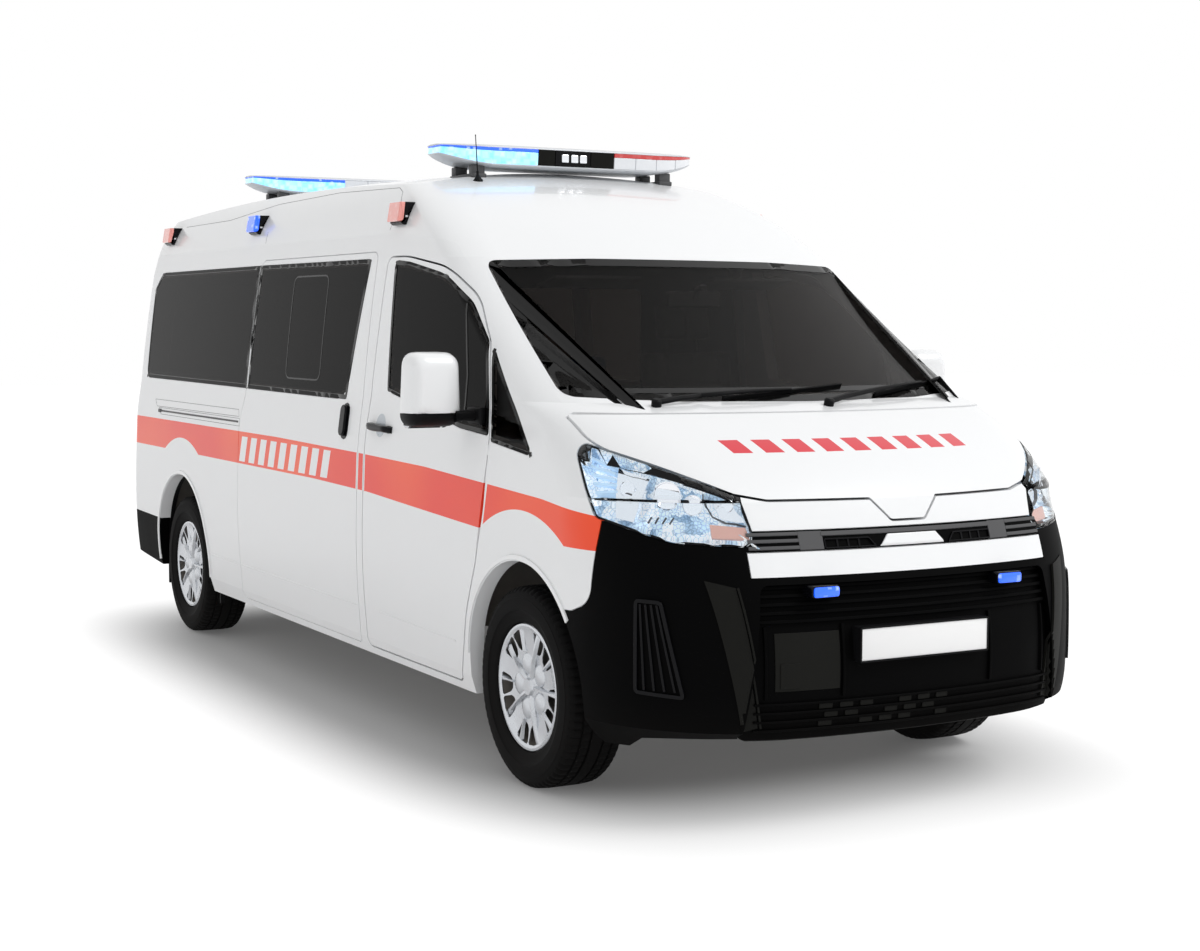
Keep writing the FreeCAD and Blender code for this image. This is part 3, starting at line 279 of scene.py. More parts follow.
def finish_of(name, colour, roughness, metallic=0.0, spread=0.06, bump=0.08, scale=400.0,
              depth=0.0004, dust=0.0, dust_top=0.75, rough_spread=0.12, **shader):
    """A Principled material whose colour, roughness and bump come from the shared groups."""
    material = bpy.data.materials.new(name)
    material.use_nodes = True
    material.node_tree.nodes.clear()
    n = Nodes(material.node_tree)
    speckle = place_group(n, SPECKLE, {
        "Scale": scale, "Bump": bump, "Depth": depth, "Color": (*colour, 1) if
        isinstance(colour, tuple) else colour, "Color Spread": spread, "Roughness": roughness,
        "Roughness Spread": rough_spread})
    tone, rough = speckle.outputs["Color"], speckle.outputs["Roughness"]
    if dust:
        dirt = place_group(n, DUST, {"Color": tone, "Top": dust_top, "Amount": dust})
        tone = dirt.outputs["Color"]
        rough = n.plus(rough, n.times(dirt.outputs["Mask"], 0.5), clamp=True)
    inputs = {"Base Color": tone, "Roughness": rough, "Metallic": metallic,
              "Normal": speckle.outputs["Normal"]}
    inputs.update({key.replace("_", " "): value for key, value in shader.items()})
    surface = n.add("BsdfPrincipled", inputs)
    n.add("OutputMaterial", {"Surface": surface})
    return material, n, surface


make_camera()
make_world()
add_sun(1.6, (-0.42, -0.50, -0.76), 0.5)

# ------------------------------------------------------------------ finishes
WHITE = (0.86, 0.87, 0.88)
ORANGE, RED = (0.98, 0.095, 0.016), (0.90, 0.035, 0.012)
STRIPE_TOP = ((-3.0, 1.095), (-0.48, 1.094), (0.55, 1.081), (1.15, 1.070), (1.66, 1.047),
              (2.12, 1.026), (2.46, 0.993), (3.0, 0.95))
STRIPE_FOOT = ((-3.0, 0.944), (0.0, 0.941), (0.6, 0.931), (1.16, 0.905), (1.63, 0.884),
               (3.0, 0.884))
ARCH_EDGES = ((REAR_AXLE, 0.398, 0.615), (FRONT_AXLE + 0.026, 0.375, 0.600))
PANEL_BREAKS = (FRONT_AXLE - 1.455, FRONT_AXLE - 1.385)
DASHES = (-0.995, 0.205, 9)       # the block of slanted dashes: start, end, how many
DASH_RISE = (0.953, 1.072)        # its foot and top
STRIPE_END = 2.47                 # the stripe stops short of the headlights
OUTER_SIDE, OUTER_ENDS = 0.925, 0.80    # paint further out than this is outside, not inside
JOINT_HALF, DOOR_JOINT_HALF = 0.011, 0.013    # half the gap that the stripe leaves at a joint
CURVE_LOW, CURVE_SPAN = (-3.0, 0.8), (6.0, 0.4)    # what the stripe's curves cover: x, height


def curve_of(n, x, points):
    """Height of a line that runs along the body through (x, height) points."""
    node = n.add("FloatCurve", {"Value": n.math("DIVIDE", n.minus(x, CURVE_LOW[0]), CURVE_SPAN[0])})
    curve = node.mapping.curves[0]
    while len(curve.points) < len(points):
        curve.points.new(0.5, 0.5)
    for point, (along, up) in zip(curve.points, points):
        point.location = ((along - CURVE_LOW[0]) / CURVE_SPAN[0],
                          (up - CURVE_LOW[1]) / CURVE_SPAN[1])
        point.handle_type = "VECTOR"
    node.mapping.update()
    return n.plus(n.times(node.outputs[0], CURVE_SPAN[1]), CURVE_LOW[1])


def slanted_dashes(n, along, up, start, end, low, high, count):
    """Mask of a row of slanted blocks."""
    pitch = (end - start) / count
    lean = n.times(n.minus(up, low), 0.3)
    run = n.minus(n.minus(along, start), lean)
    phase = n.math("FRACT", n.math("DIVIDE", run, pitch))
    mask = n.math("LESS_THAN", phase, 0.6)
    mask = n.times(mask, n.between(run, 0.0, end - start))
    return n.times(mask, n.between(up, low, high))


def livery(n):
    """White with the orange stripe along the sides and the tail."""
    place = n.place()
    split = n.add("SeparateXYZ", {0: place})
    x, across, z = split.outputs
    top, foot = curve_of(n, x, STRIPE_TOP), curve_of(n, x, STRIPE_FOOT)
    stripe = n.times(n.math("LESS_THAN", z, top), n.math("GREATER_THAN", z, foot))
    stripe = n.times(stripe, n.math("LESS_THAN", x, STRIPE_END))
    reach = n.math("ABSOLUTE", across)
    corner = n.between(x, -2.88, 1.72)
    limit = n.plus(OUTER_ENDS, n.times(corner, OUTER_SIDE - OUTER_ENDS))
    outer = n.math("GREATER_THAN", reach, limit)
    rear = n.math("LESS_THAN", x, TAIL + 0.03)
    stripe = n.times(stripe, n.math("MAXIMUM", outer, rear))
    for centre_x, centre_z, radius in ARCH_EDGES:
        dx, dz = n.minus(x, centre_x), n.minus(z, centre_z)
        squares = n.plus(n.times(dx, dx), n.times(dz, dz))
        stripe = n.times(stripe, n.math("GREATER_THAN", squares, radius ** 2))
    for edge in PANEL_BREAKS:
        off = n.math("ABSOLUTE", n.minus(x, edge))
        stripe = n.times(stripe, n.math("GREATER_THAN", off, JOINT_HALF))
    door_edge = n.plus(n.times(n.minus(z, 0.96), 0.19), FRONT_AXLE - 0.268)
    off = n.math("ABSOLUTE", n.minus(x, door_edge))
    stripe = n.times(stripe, n.math("GREATER_THAN", off, DOOR_JOINT_HALF))
    dashes = slanted_dashes(n, x, z, DASHES[0], DASHES[1], *DASH_RISE, DASHES[2])
    stripe = n.times(stripe, n.minus(1.0, n.times(dashes, outer)))
    drift = n.add("TexNoise", {"Vector": place, "Scale": 1.1, "Detail": 1.0})
    paint = n.ramp(drift.outputs[0], (0.35, ORANGE), (0.62, RED))
    return n.mix(stripe, (*WHITE, 1), paint)


def livery_paint():
    """Gloss white body paint that carries the stripe."""
    material, n, _ = finish_of(
        "white_paint_with_stripe", WHITE, 0.32, spread=0.012, bump=0.02, scale=260.0, dust=0.05,
        dust_top=0.5, rough_spread=0.04, Coat_Weight=0.25, Coat_Roughness=0.06,
        Specular_IOR_Level=0.3)
    recolour(n, livery(n))
    return material


def bonnet_paint():
    """Gloss white with the row of slanted dashes over the nose."""
    material, n, _ = finish_of(
        "bonnet_paint", WHITE, 0.30, spread=0.012, bump=0.02, scale=260.0, rough_spread=0.04,
        Coat_Weight=0.5, Coat_Roughness=0.06)
    split = n.add("SeparateXYZ", {0: n.place()})
    reach = n.plus(split.outputs[0], n.times(n.times(split.outputs[1], split.outputs[1]), 0.24))
    mask = slanted_dashes(n, split.outputs[1], reach, -0.53, 0.47, 2.590, 2.655, 9)
    recolour(n, n.mix(mask, (*WHITE, 1), (0.70, 0.012, 0.032, 1)))
    return material


def cloth(name, colour, second, pitch):
    """Woven cloth: fine knots of thread."""
    material, n, surface = finish_of(name, colour, 0.85, spread=0.15, bump=0.2, scale=900.0,
                                     Sheen_Weight=0.3, Sheen_Roughness=0.5)
    place = n.place()
    weave = n.add("TexVoronoi", {"Vector": place, "Scale": pitch * 2.4}).outputs[0]
    speckle = recolour(n, n.mix(weave, (*colour, 1), (*second, 1)))
    bump = n.add("Bump", {"Strength": 0.35, "Distance": 0.0008, "Height": weave,
                          "Normal": speckle.outputs["Normal"]})
    n.feed(surface.inputs["Normal"], bump)
    return material


def glass(name, tint, roughness=0.02, **shader):
    """See-through sheet whose tint and polish wander a little."""
    material = bpy.data.materials.new(name)
    material.use_nodes = True
    material.node_tree.nodes.clear()
    n = Nodes(material.node_tree)
    place = n.place()
    film = n.add("TexNoise", {"Vector": place, "Scale": 5.0, "Detail": 4.0})
    rough = n.plus(roughness, n.times(film.outputs[0], 0.02))
    tone = n.mix(film.outputs[0], (*tint, 1), (*[c * 0.92 for c in tint], 1))
    inputs = {"Base Color": tone, "Roughness": rough, "IOR": 1.1, "Transmission Weight": 1.0}
    inputs.update({key.replace("_", " "): value for key, value in shader.items()})
    n.add("OutputMaterial", {"Surface": n.add("BsdfPrincipled", inputs)})
    return material


def lamp(name, colour, glow, roughness=0.12, spot=0.38):
    """Coloured lens over a ribbed reflector, with the light it gives."""
    material, n, surface = finish_of(name, colour, roughness, spread=0.2, bump=0.0,
                                     Coat_Weight=1.0, Coat_Roughness=0.03)
    place = n.place()
    cells = n.add("TexVoronoi", {"Vector": place, "Scale": 34.0}, distance="CHEBYCHEV")
    bump = n.add("Bump", {"Strength": 0.5, "Distance": 0.002, "Height": cells.outputs[0]})
    n.feed(surface.inputs["Normal"], bump)
    if glow:
        core = tuple(min(1.0, c * 1.6 + 0.55) for c in colour)
        light = n.ramp(cells.outputs[0], (spot * 0.2, core), (spot, colour))
        n.feed(surface.inputs["Emission Color"], light)
        surface.inputs["Emission Strength"].default_value = glow
    return material


def lamp_bowl_painted_light():
    """Faceted reflector with painted reflections: each cell gets its own painted brightness under fine
    darker lines, and it glows a little, painted light for the light that the lens keeps out.
    """
    material, n, surface = finish_of("headlight_bowl_painted_light", (0.8, 0.85, 0.9), 0.28, metallic=0.3,
                                     spread=0.1, bump=0.1)
    place = n.place()
    cells = n.add("TexVoronoi", {"Vector": place, "Scale": 26.0, "Randomness": 0.85},
                  distance="CHEBYCHEV")
    split = n.add("SeparateXYZ", {0: cells.outputs["Color"]})
    # painted reflections: each facet cell gets its own brightness, from dark blue to near white
    tone = n.ramp(split.outputs[0], (0.0, (0.22, 0.36, 0.52)), (0.30, (0.62, 0.76, 0.88)),
                  (0.62, (0.86, 0.90, 0.93)), (1.0, (0.98, 0.98, 0.97)))
    fine = n.add("TexVoronoi", {"Vector": place, "Scale": 75.0}, feature="DISTANCE_TO_EDGE")
    edge = n.ramp(fine.outputs[0], (0.0, (0.45, 0.50, 0.56)), (0.12, (1.0, 1.0, 1.0)))
    tone = n.add("VectorMath", {0: tone, 1: edge}, operation="MULTIPLY").outputs[0]
    bump = n.add("Bump", {"Strength": 0.5, "Distance": 0.003, "Height": cells.outputs[0]})
    # the painted tone also glows: painted light standing in for the light that the lens keeps out of
    # the bowl
    for label in ("Base Color", "Emission Color"):
        n.feed(surface.inputs[label], tone)
    n.feed(surface.inputs["Normal"], bump)
    surface.inputs["Emission Strength"].default_value = 0.38
    return material


def plain(name, colour, roughness, **rest):
    """A finish that needs nothing added to it."""
    return finish_of(name, colour, roughness, **rest)[0]


MATERIALS = {
    "livery": livery_paint(),
    "bonnet": bonnet_paint(),
    "white": plain("plain_white_paint", WHITE, 0.30, spread=0.012, bump=0.02, scale=260.0,
          rough_spread=0.04, Coat_Weight=0.5, Coat_Roughness=0.06),
    "bumper": plain("bumper_black", (0.0010, 0.0010, 0.0011), 0.55, spread=0.3, bump=0.04,
          scale=700.0, dust=0.012, dust_top=0.45, Specular_IOR_Level=0.03),
    "trim": plain("black_trim", (0.004, 0.004, 0.0045), 0.5, spread=0.3, bump=0.2, scale=900.0,
          Specular_IOR_Level=0.1),
    "gloss_black": plain("gloss_black", (0.002, 0.002, 0.003), 0.16, bump=0.02,
          Specular_IOR_Level=0.14),
    "dark_grey": plain("dark_grey_trim", (0.0075, 0.0075, 0.0065), 0.5, spread=0.2, bump=0.2,
          scale=900.0, Specular_IOR_Level=0.08),
    "mid_grey": plain("mid_grey_trim", (0.075, 0.075, 0.078), 0.45, spread=0.2, bump=0.15,
          scale=900.0, Specular_IOR_Level=0.3),
    "tinted": glass("tinted_glass", (0.019, 0.015, 0.013)),
    "screen": glass("windscreen_glass", (0.30, 0.285, 0.275)),
    "lens": glass("clear_lens", (0.95, 0.98, 1.0), 0.01, IOR=1.2),
    "seam": plain("panel_joint", (0.16, 0.165, 0.175), 0.6, spread=0.2, bump=0.05),
    "cup": plain("handle_cup", (0.52, 0.56, 0.60), 0.28, metallic=0.2, spread=0.1, bump=0.03),
    "frit": plain("glass_border", (0.004, 0.004, 0.004), 0.14, bump=0.02, Specular_IOR_Level=0.2),
    "chrome": plain("bright_reflector", (0.86, 0.88, 0.92), 0.10, metallic=1.0, bump=0.02,
          spread=0.05),
    "silver": plain("wheel_silver", (0.60, 0.62, 0.65), 0.26, metallic=0.85, bump=0.05,
          scale=500.0, spread=0.10, Coat_Weight=0.3, Coat_Roughness=0.1),
    "aluminium": plain("aluminium", (0.66, 0.67, 0.69), 0.30, metallic=1.0, bump=0.12,
          scale=300.0, spread=0.12),
    # the headlight bowl glows a little: painted light, not a lit lamp
    "lamp_silver_painted_glow": lamp_bowl_painted_light(),
    # the headlight grid glows a little: painted light standing in for the light that the lens keeps
    # out, not a lit lamp
    "lamp_blue_painted_glow": plain("headlight_grid_painted_glow", (0.50, 0.68, 0.86), 0.3, metallic=0.2, spread=0.2,
          bump=0.05, Emission_Color=(0.62, 0.80, 0.98, 1), Emission_Strength=0.28),
    "lamp_amber": plain("headlight_amber", (0.88, 0.50, 0.42), 0.2, spread=0.5, bump=0.05,
          scale=90.0),
    "bar_shell": plain("light_bar_shell", (0.62, 0.64, 0.67), 0.35, metallic=0.3, spread=0.05,
          bump=0.05),
    "blue_lit": lamp("blue_lens_lit", (0.004, 0.10, 0.90), 0.8, spot=0.30),
    "blue_core": lamp("blue_lens_core", (0.16, 0.62, 0.98), 0.75, spot=0.75),
    "red_lens": lamp("red_lens", (0.55, 0.02, 0.02), 0.12),
    "red_pale": lamp("red_lens_pale", (0.80, 0.30, 0.26), 0.1),
    "amber": lamp("amber_lens", (0.85, 0.28, 0.06), 0.1),
    "clear_ribbed": lamp("clear_ribbed_lens", (0.72, 0.74, 0.77), 0.1),
    "plate": plain("plate_white", (0.86, 0.86, 0.86), 0.35, bump=0.05, spread=0.03),
    "tyre": plain("tyre_rubber", (0.0030, 0.0030, 0.0033), 0.7, spread=0.35, bump=0.3,
          scale=500.0, dust=0.01, dust_top=0.9, Specular_IOR_Level=0.07),
    "frame": plain("frame_black", (0.022, 0.022, 0.023), 0.55, spread=0.4, bump=0.3, scale=300.0,
          dust=0.7, dust_top=0.9),
    "cast": plain("cast_metal", (0.11, 0.11, 0.11), 0.62, metallic=0.6, spread=0.4, bump=0.4,
          scale=180.0, depth=0.001, dust=0.4, dust_top=0.9),
    "steel": plain("exhaust_steel", (0.40, 0.38, 0.35), 0.38, metallic=0.9, spread=0.4, bump=0.2,
          scale=250.0, dust=0.5, dust_top=0.8),
    "cab": plain("cab_plastic", (0.035, 0.035, 0.037), 0.6, spread=0.15, bump=0.5, scale=1100.0),
    "cab_grey": plain("cab_grey_plastic", (0.16, 0.16, 0.165), 0.6, spread=0.1, bump=0.4,
          scale=1100.0),
    "cloth": cloth("seat_cloth", (0.085, 0.083, 0.080), (0.19, 0.185, 0.175), 160.0),
    "vinyl": plain("seat_vinyl", (0.03, 0.075, 0.20), 0.42, spread=0.15, bump=0.45, scale=700.0,
          depth=0.0006, Sheen_Weight=0.1),
    "strap": cloth("strap_webbing", (0.45, 0.03, 0.03), (0.30, 0.02, 0.02), 300.0),
    "rail_yellow": plain("rail_yellow", (0.80, 0.48, 0.03), 0.35, spread=0.06, bump=0.1),
    "cabinet": plain("cabinet_laminate", (0.62, 0.64, 0.66), 0.4, spread=0.04, bump=0.08,
          scale=350.0),
    "lino": plain("floor_lino", (0.13, 0.145, 0.16), 0.5, spread=0.25, bump=0.3, scale=600.0),
    "mirror": plain("mirror_glass", (0.82, 0.84, 0.86), 0.02, metallic=1.0, bump=0.0,
          spread=0.01),
}

NODE_FINISH = {
    "livery": "body_side_right body_side_left front_wings sliding_door front_door_right "
              "front_door_left tailgate",
    "white": "roof_panel nose_panels cowl_panel door_mirror_right door_mirror_left",
    "bonnet": "bonnet",
    "bumper": "front_bumper rear_bumper grilles",
    "trim": "antenna number_plate warning_lights",
    "screen": "windscreen",
    "tinted": "fixed_side_windows sliding_door_glass tailgate_glass front_door_glass_right "
              "front_door_glass_left",
    "lens": "headlights",
    "red_lens": "tail_lamps",
    "frame": "floor_pan front_bulkhead chassis_frame leaf_springs fuel_tank",
    "cast": "engine_block rear_axle propeller_shaft knuckle_right knuckle_left",
    "steel": "exhaust",
    "tyre": "spare_wheel",
    "cab": "dashboard steering_wheel",
    "cloth": "front_seats",
    "cab_grey": "partition",
    "cabinet": "side_bench medical_cabinet",
    "vinyl": "attendant_seat",
    "aluminium": "stretcher light_bars",
}
FINISH_OF_NODE = {name: finish for finish, names in NODE_FINISH.items() for name in names.split()}
for name, node in frame["nodes"].items():
    finish = FINISH_OF_NODE.get(name) or ("tyre" if name.startswith("tyre") else "silver")
    node.data.materials.clear()
    node.data.materials.append(MATERIALS[finish])


# ------------------------------------------------------------------ stage
FLOOR = (0.93, 0.93, 0.93)
PAINTED_SHADOW_HALF = (NOSE + 0.40, 1.66)    # half length and half width of the painted shadow round the van
PAINTED_SHADOW_FADE = (0.62, 1.0)            # shares of those where the painted shadow begins to give way to the ground's glow, and where the glow is full
GLOW_LOW, GLOW_RISE = 0.075, 0.92   # glow under the van, kept low there for the painted shadow, and how much is added in the open
GLOW_FOR_LIGHT = 0.10               # glow that lights the van itself


def make_floor():
    """A pale floor that glows to white away from the van; round the van, camera rays see it darker and
    with little glow, a painted soft shadow over the real shade.
    """
    bm = bmesh.new()
    bmesh.ops.create_grid(bm, x_segments=1, y_segments=1, size=40)
    floor = linked("floor", bm)
    material, n, surface = finish_of("pale_floor_painted_shadow", FLOOR, 0.9, spread=0.01,
                                     bump=0.0, Emission_Color=(1, 1, 1, 1))
    split = n.add("SeparateXYZ", {0: n.place()})
    reach = [n.math("POWER", n.math("DIVIDE", split.outputs[i], edge), 4.0)
             for i, edge in enumerate(PAINTED_SHADOW_HALF)]
    far = n.math("POWER", n.plus(*reach), 0.25)
    outside_painted_shadow = n.add("MapRange", {"Value": far, "From Min": PAINTED_SHADOW_FADE[0],
                                    "From Max": PAINTED_SHADOW_FADE[1]},
                       interpolation_type="SMOOTHSTEP").outputs[0]
    light = n.plus(GLOW_LOW, n.times(outside_painted_shadow, GLOW_RISE))
    seen = n.add("LightPath").outputs["Is Camera Ray"]
    # painted shadow: camera rays see a darker floor near the van; in the open their colour is nearly
    # black, so the glow alone makes it white there
    near = n.mix(outside_painted_shadow, (0.45, 0.45, 0.45, 1), (0.06, 0.06, 0.06, 1))
    recolour(n, n.mix(seen, (*FLOOR, 1), near))
    glow = n.plus(GLOW_FOR_LIGHT, n.times(seen, n.minus(light, GLOW_FOR_LIGHT)))
    n.feed(surface.inputs["Emission Strength"], glow)
    floor.data.materials.append(material)


make_floor()


# ------------------------------------------------------------------ mesh helpers
def piece(name, bm, body, material, sharp=35.0, fix_normals=True, bevel=0.0,
          segments=2):
    """Turns a bmesh into a named piece that rides on a body, in its finish's usual slot."""
    if fix_normals:
        bmesh.ops.recalc_face_normals(bm, faces=bm.faces)
    item = linked(name, bm)
    item.data.materials.append(MATERIALS[material])
    item.data.shade_smooth()
    item.data.set_sharp_from_angle(angle=radians(sharp))
    if bevel:
        rounding = item.modifiers.new("rounding", "BEVEL")
        rounding.width, rounding.segments = bevel, segments
        rounding.limit_method, rounding.angle_limit = "ANGLE", radians(40)
        rounding.harden_normals = False
    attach(item, body)
    return item


def block(bm, low, high, bevel=0.0, segments=2, turn=None):
    """A box between two corners, its edges rounded; turned about its middle by a matrix."""
    low, high = Vector(low), Vector(high)
    made = bmesh.ops.create_cube(bm, size=1.0)
    verts = made["verts"]
    bmesh.ops.scale(bm, vec=high - low, verts=verts)
    if bevel:
        edges = list({edge for vert in verts for edge in vert.link_edges})
        made = bmesh.ops.bevel(bm, geom=edges, offset=bevel, offset_type="OFFSET",
                               affect="EDGES", segments=segments, profile=0.5, material=-1)
        verts = list({vert for face in made["faces"] for vert in face.verts} |
                     {vert for vert in verts if vert.is_valid})
    if turn is not None:
        bmesh.ops.transform(bm, matrix=turn, verts=verts)
    bmesh.ops.translate(bm, vec=(low + high) / 2, verts=verts)
    return verts


def spun(bm, rows, steps=96, closed=False):
    """Spins (radius, along) rows a full turn about the Y axis; returns the new verts."""
    before = set(bm.verts)
    verts = [bm.verts.new((radius, along, 0.0)) for radius, along in rows]
    edges = [bm.edges.new(pair) for pair in zip(verts, verts[1:])]
    if closed:
        edges.append(bm.edges.new((verts[-1], verts[0])))
    bmesh.ops.spin(bm, geom=verts + edges, cent=(0, 0, 0), axis=Y, dvec=(0, 0, 0),
                   angle=2 * pi, steps=steps, use_merge=True)
    made = [vert for vert in bm.verts if vert not in before]
    bmesh.ops.remove_doubles(bm, verts=made, dist=1e-6)
    return [vert for vert in bm.verts if vert not in before]


def tube(bm, points, radius, sides=12, caps=True):
    """A round bar through points; radius is one number or one for each point."""
    points = [Vector(point) for point in points]
    radii = radius if isinstance(radius, (list, tuple)) else [radius] * len(points)
    rings = []
    for index, (point, wide) in enumerate(zip(points, radii)):
        ahead = points[min(index + 1, len(points) - 1)]
        behind = points[max(index - 1, 0)]
        turn = (ahead - behind).to_track_quat("Z", "Y").to_matrix().to_4x4()
        ring = bmesh.ops.create_circle(bm, segments=sides, radius=wide,
                                       matrix=Matrix.Translation(point) @ turn)["verts"]
        rings.append(ring)
    for a, b in zip(rings, rings[1:]):
        bridge(bm, a, b)
    if caps:
        for ring in (rings[0], rings[-1]):
            bm.faces.new(ring)
    return [vert for ring in rings for vert in ring]


def bridge(bm, a, b, closed=True):
    """Quads between two rings with the same number of verts, in order."""
    count = len(a)
    for i in range(count if closed else count - 1):
        j = (i + 1) % count
        bm.faces.new((a[i], a[j], b[j], b[i]))


def loft(bm, rings, caps=True):
    """Skins a stack of rings given as lists of points."""
    made = [[bm.verts.new(point) for point in ring] for ring in rings]
    for a, b in zip(made, made[1:]):
        bridge(bm, a, b)
    if caps:
        bm.faces.new(made[0][::-1])
        bm.faces.new(made[-1])
    return made


def plate(bm, points, run):
    """A flat face through points, run along a vector to make a solid; returns its verts."""
    verts = [bm.verts.new(point) for point in points]
    face = bm.faces.new(verts)
    made = bmesh.ops.extrude_face_region(bm, geom=[face])["geom"]
    top = [item for item in made if isinstance(item, bmesh.types.BMVert)]
    bmesh.ops.translate(bm, vec=run, verts=top)
    return verts + top


def rounded(across, up, radius, steps=5):
    """Points of a rounded rectangle of half sizes across and up, as (u, v) pairs."""
    points = []
    for quarter, (sx, sy) in enumerate(((1, 1), (-1, 1), (-1, -1), (1, -1))):
        for step in range(steps + 1):
            angle = pi / 2 * (quarter + step / steps)
            points.append((sx * (across - radius) + radius * cos(angle),
                           sy * (up - radius) + radius * sin(angle)))
    return points


def oblong(left, low, right, high):
    """The four corners of an upright rectangle."""
    return [(left, low), (right, low), (right, high), (left, high)]


def shell_tree(*names):
    """A tree of the faces of CAD nodes, to find points on their surface."""
    verts, faces = [], []
    for name in names:
        mesh = frame["nodes"][name].data
        start = len(verts)
        verts += [vert.co.copy() for vert in mesh.vertices]
        faces += [[start + i for i in face.vertices] for face in mesh.polygons]
    return BVHTree.FromPolygons(verts, faces)


SIDE_SKIN = {
    "right": shell_tree("body_side_right", "front_door_right", "sliding_door", "front_wings",
                        "sliding_door_glass", "front_door_glass_right", "fixed_side_windows",
                        "roof_panel", "front_bumper", "rear_bumper"),
    "left": shell_tree("body_side_left", "front_door_left", "front_wings",
                       "front_door_glass_left", "fixed_side_windows", "roof_panel",
                       "front_bumper", "rear_bumper")}
FACE_SKIN = shell_tree("bonnet", "nose_panels", "front_bumper", "grilles", "headlights",
                       "windscreen", "roof_panel", "cowl_panel", "front_wings", "number_plate")
REAR_SKIN = shell_tree("tailgate", "rear_bumper", "tailgate_glass", "tail_lamps",
                       "body_side_right", "body_side_left", "roof_panel")
TOP_SKIN = shell_tree("roof_panel", "bonnet", "windscreen", "cowl_panel", "front_wings")
LAMP_SKIN = shell_tree("headlights")


def cast(tree, start, way, lift, near=None):
    """Where a ray meets a tree, lifted off it, and the direction outward there.

    A ray that slips through a gap takes the nearest place to its own first look.
    """
    hit, normal, _, _ = tree.ray_cast(start, way)
    if hit is None:
        hit, normal, _, _ = tree.find_nearest(near or start)
    if normal.dot(way) > 0:
        normal = -normal
    return hit + normal * lift, normal


def on_side(x, z, side, lift=0.0):
    """Point and outward direction on the body's side."""
    tree = SIDE_SKIN["right" if side < 0 else "left"]
    return cast(tree, Vector((x, side * 1.3, z)), Vector((0, -side, 0)), lift,
                Vector((x, side * 0.95, z)))


def on_face(y, z, lift=0.0, tree=FACE_SKIN, way=1):
    """Point and outward direction on the front (way 1) or the back (way -1)."""
    return cast(tree, Vector((way * 3.4, y, z)), Vector((-way, 0, 0)), lift)


def on_top(x, y, lift=0.0):
    """Point and outward direction on the roof, the screen or the bonnet."""
    return cast(TOP_SKIN, Vector((x, y, 3.0)), Vector((0, 0, -1)), lift)


def strip(bm, path, normals, wide, thick, sink=0.002):
    """A flat bar laid on a surface along a path; wide across it, thick outward."""
    rings = []
    for index, (point, normal) in enumerate(zip(path, normals)):
        ahead = path[min(index + 1, len(path) - 1)] - path[max(index - 1, 0)]
        across = ahead.normalized().cross(normal).normalized() * (wide / 2)
        foot, top = point - normal * sink, point + normal * thick
        rings.append([foot - across, foot + across, top + across * 0.8, top - across * 0.8])
    loft(bm, rings)


# ------------------------------------------------------------------ wheels
TREAD = [  # radius below the tread's top, distance from the tyre's middle
    (0.0, 0.020), (0.008, 0.0215), (0.008, 0.0285), (0.0, 0.030), (0.0, 0.058), (0.008, 0.0595),
    (0.008, 0.0665), (0.001, 0.068), (0.003, 0.090), (0.010, 0.1015), (0.019, 0.1075),
    (0.0205, 0.1068), (0.026, 0.1100), (0.040, 0.1135), (0.0405, 0.1148), (0.052, 0.1158),
    (0.069, 0.1168), (0.082, 0.1158), (0.083, 0.1142), (0.094, 0.1120), (0.104, 0.1075),
    (0.108, 0.1068), (0.1115, 0.1055), (0.120, 0.1040), (0.127, 0.0985)]
BLOCKS = 288                              # rows of tread round a tyre
SHOULDER_CUT, WORN_CUT, RIDGE = 0.0065, 0.004, 0.0012    # depths of the cuts, ridge of the wall


def make_tyre(corner):
    """Tyre with five ribs, cross grooves in the shoulders and ridged side walls."""
    bm = bmesh.new()
    half = [(TYRE_R - drop, along) for drop, along in TREAD]
    rows = [(radius, -along) for radius, along in reversed(half)] + half
    spun(bm, rows, steps=BLOCKS)
    for vert in bm.verts:
        radius = hypot(vert.co.x, vert.co.z)
        turn = round(atan2(vert.co.z, vert.co.x) / (2 * pi) * BLOCKS)
        along = abs(vert.co.y)
        push = 0.0
        if radius > TYRE_R - 0.0195 and 0.067 < along < 0.11 and turn % 4 == 0:
            push = SHOULDER_CUT if radius > TYRE_R - 0.012 else WORN_CUT
        elif radius > TYRE_R - 0.002 and 0.029 < along < 0.06 and (turn + 2) % 4 == 0:
            push = WORN_CUT
        elif abs(radius - (TYRE_R - 0.052)) < 0.001 and turn % 2 == 0:
            vert.co.y -= copysign(RIDGE, vert.co.y)
        vert.co.x *= 1 - push / radius
        vert.co.z *= 1 - push / radius
    bmesh.ops.translate(bm, vec=HUBS[corner], verts=bm.verts)
    item = piece("tread_tyre_" + corner, bm, "wheel_" + corner, "tyre", sharp=50)
    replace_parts(item, "tyre_" + corner)


def cut_with(item, cutter):
    """Cuts the closed shapes of one object out of another and removes it."""
    cut = item.modifiers.new("cut", "BOOLEAN")
    cut.operation, cut.object, cut.solver = "DIFFERENCE", cutter, "EXACT"
    applied(item)
    bpy.data.objects.remove(cutter)


def polar(radius, angle, along=0.0):
    """A point of a wheel's own frame."""
    return Vector((radius * cos(angle), along, radius * sin(angle)))


COVER = [(0.0, 0.088), (0.030, 0.088), (0.042, 0.082), (0.075, 0.079), (0.125, 0.083),
         (0.172, 0.088), (0.203, 0.0935), (0.2125, 0.0985), (0.2205, 0.0980), (0.2238, 0.0945)]


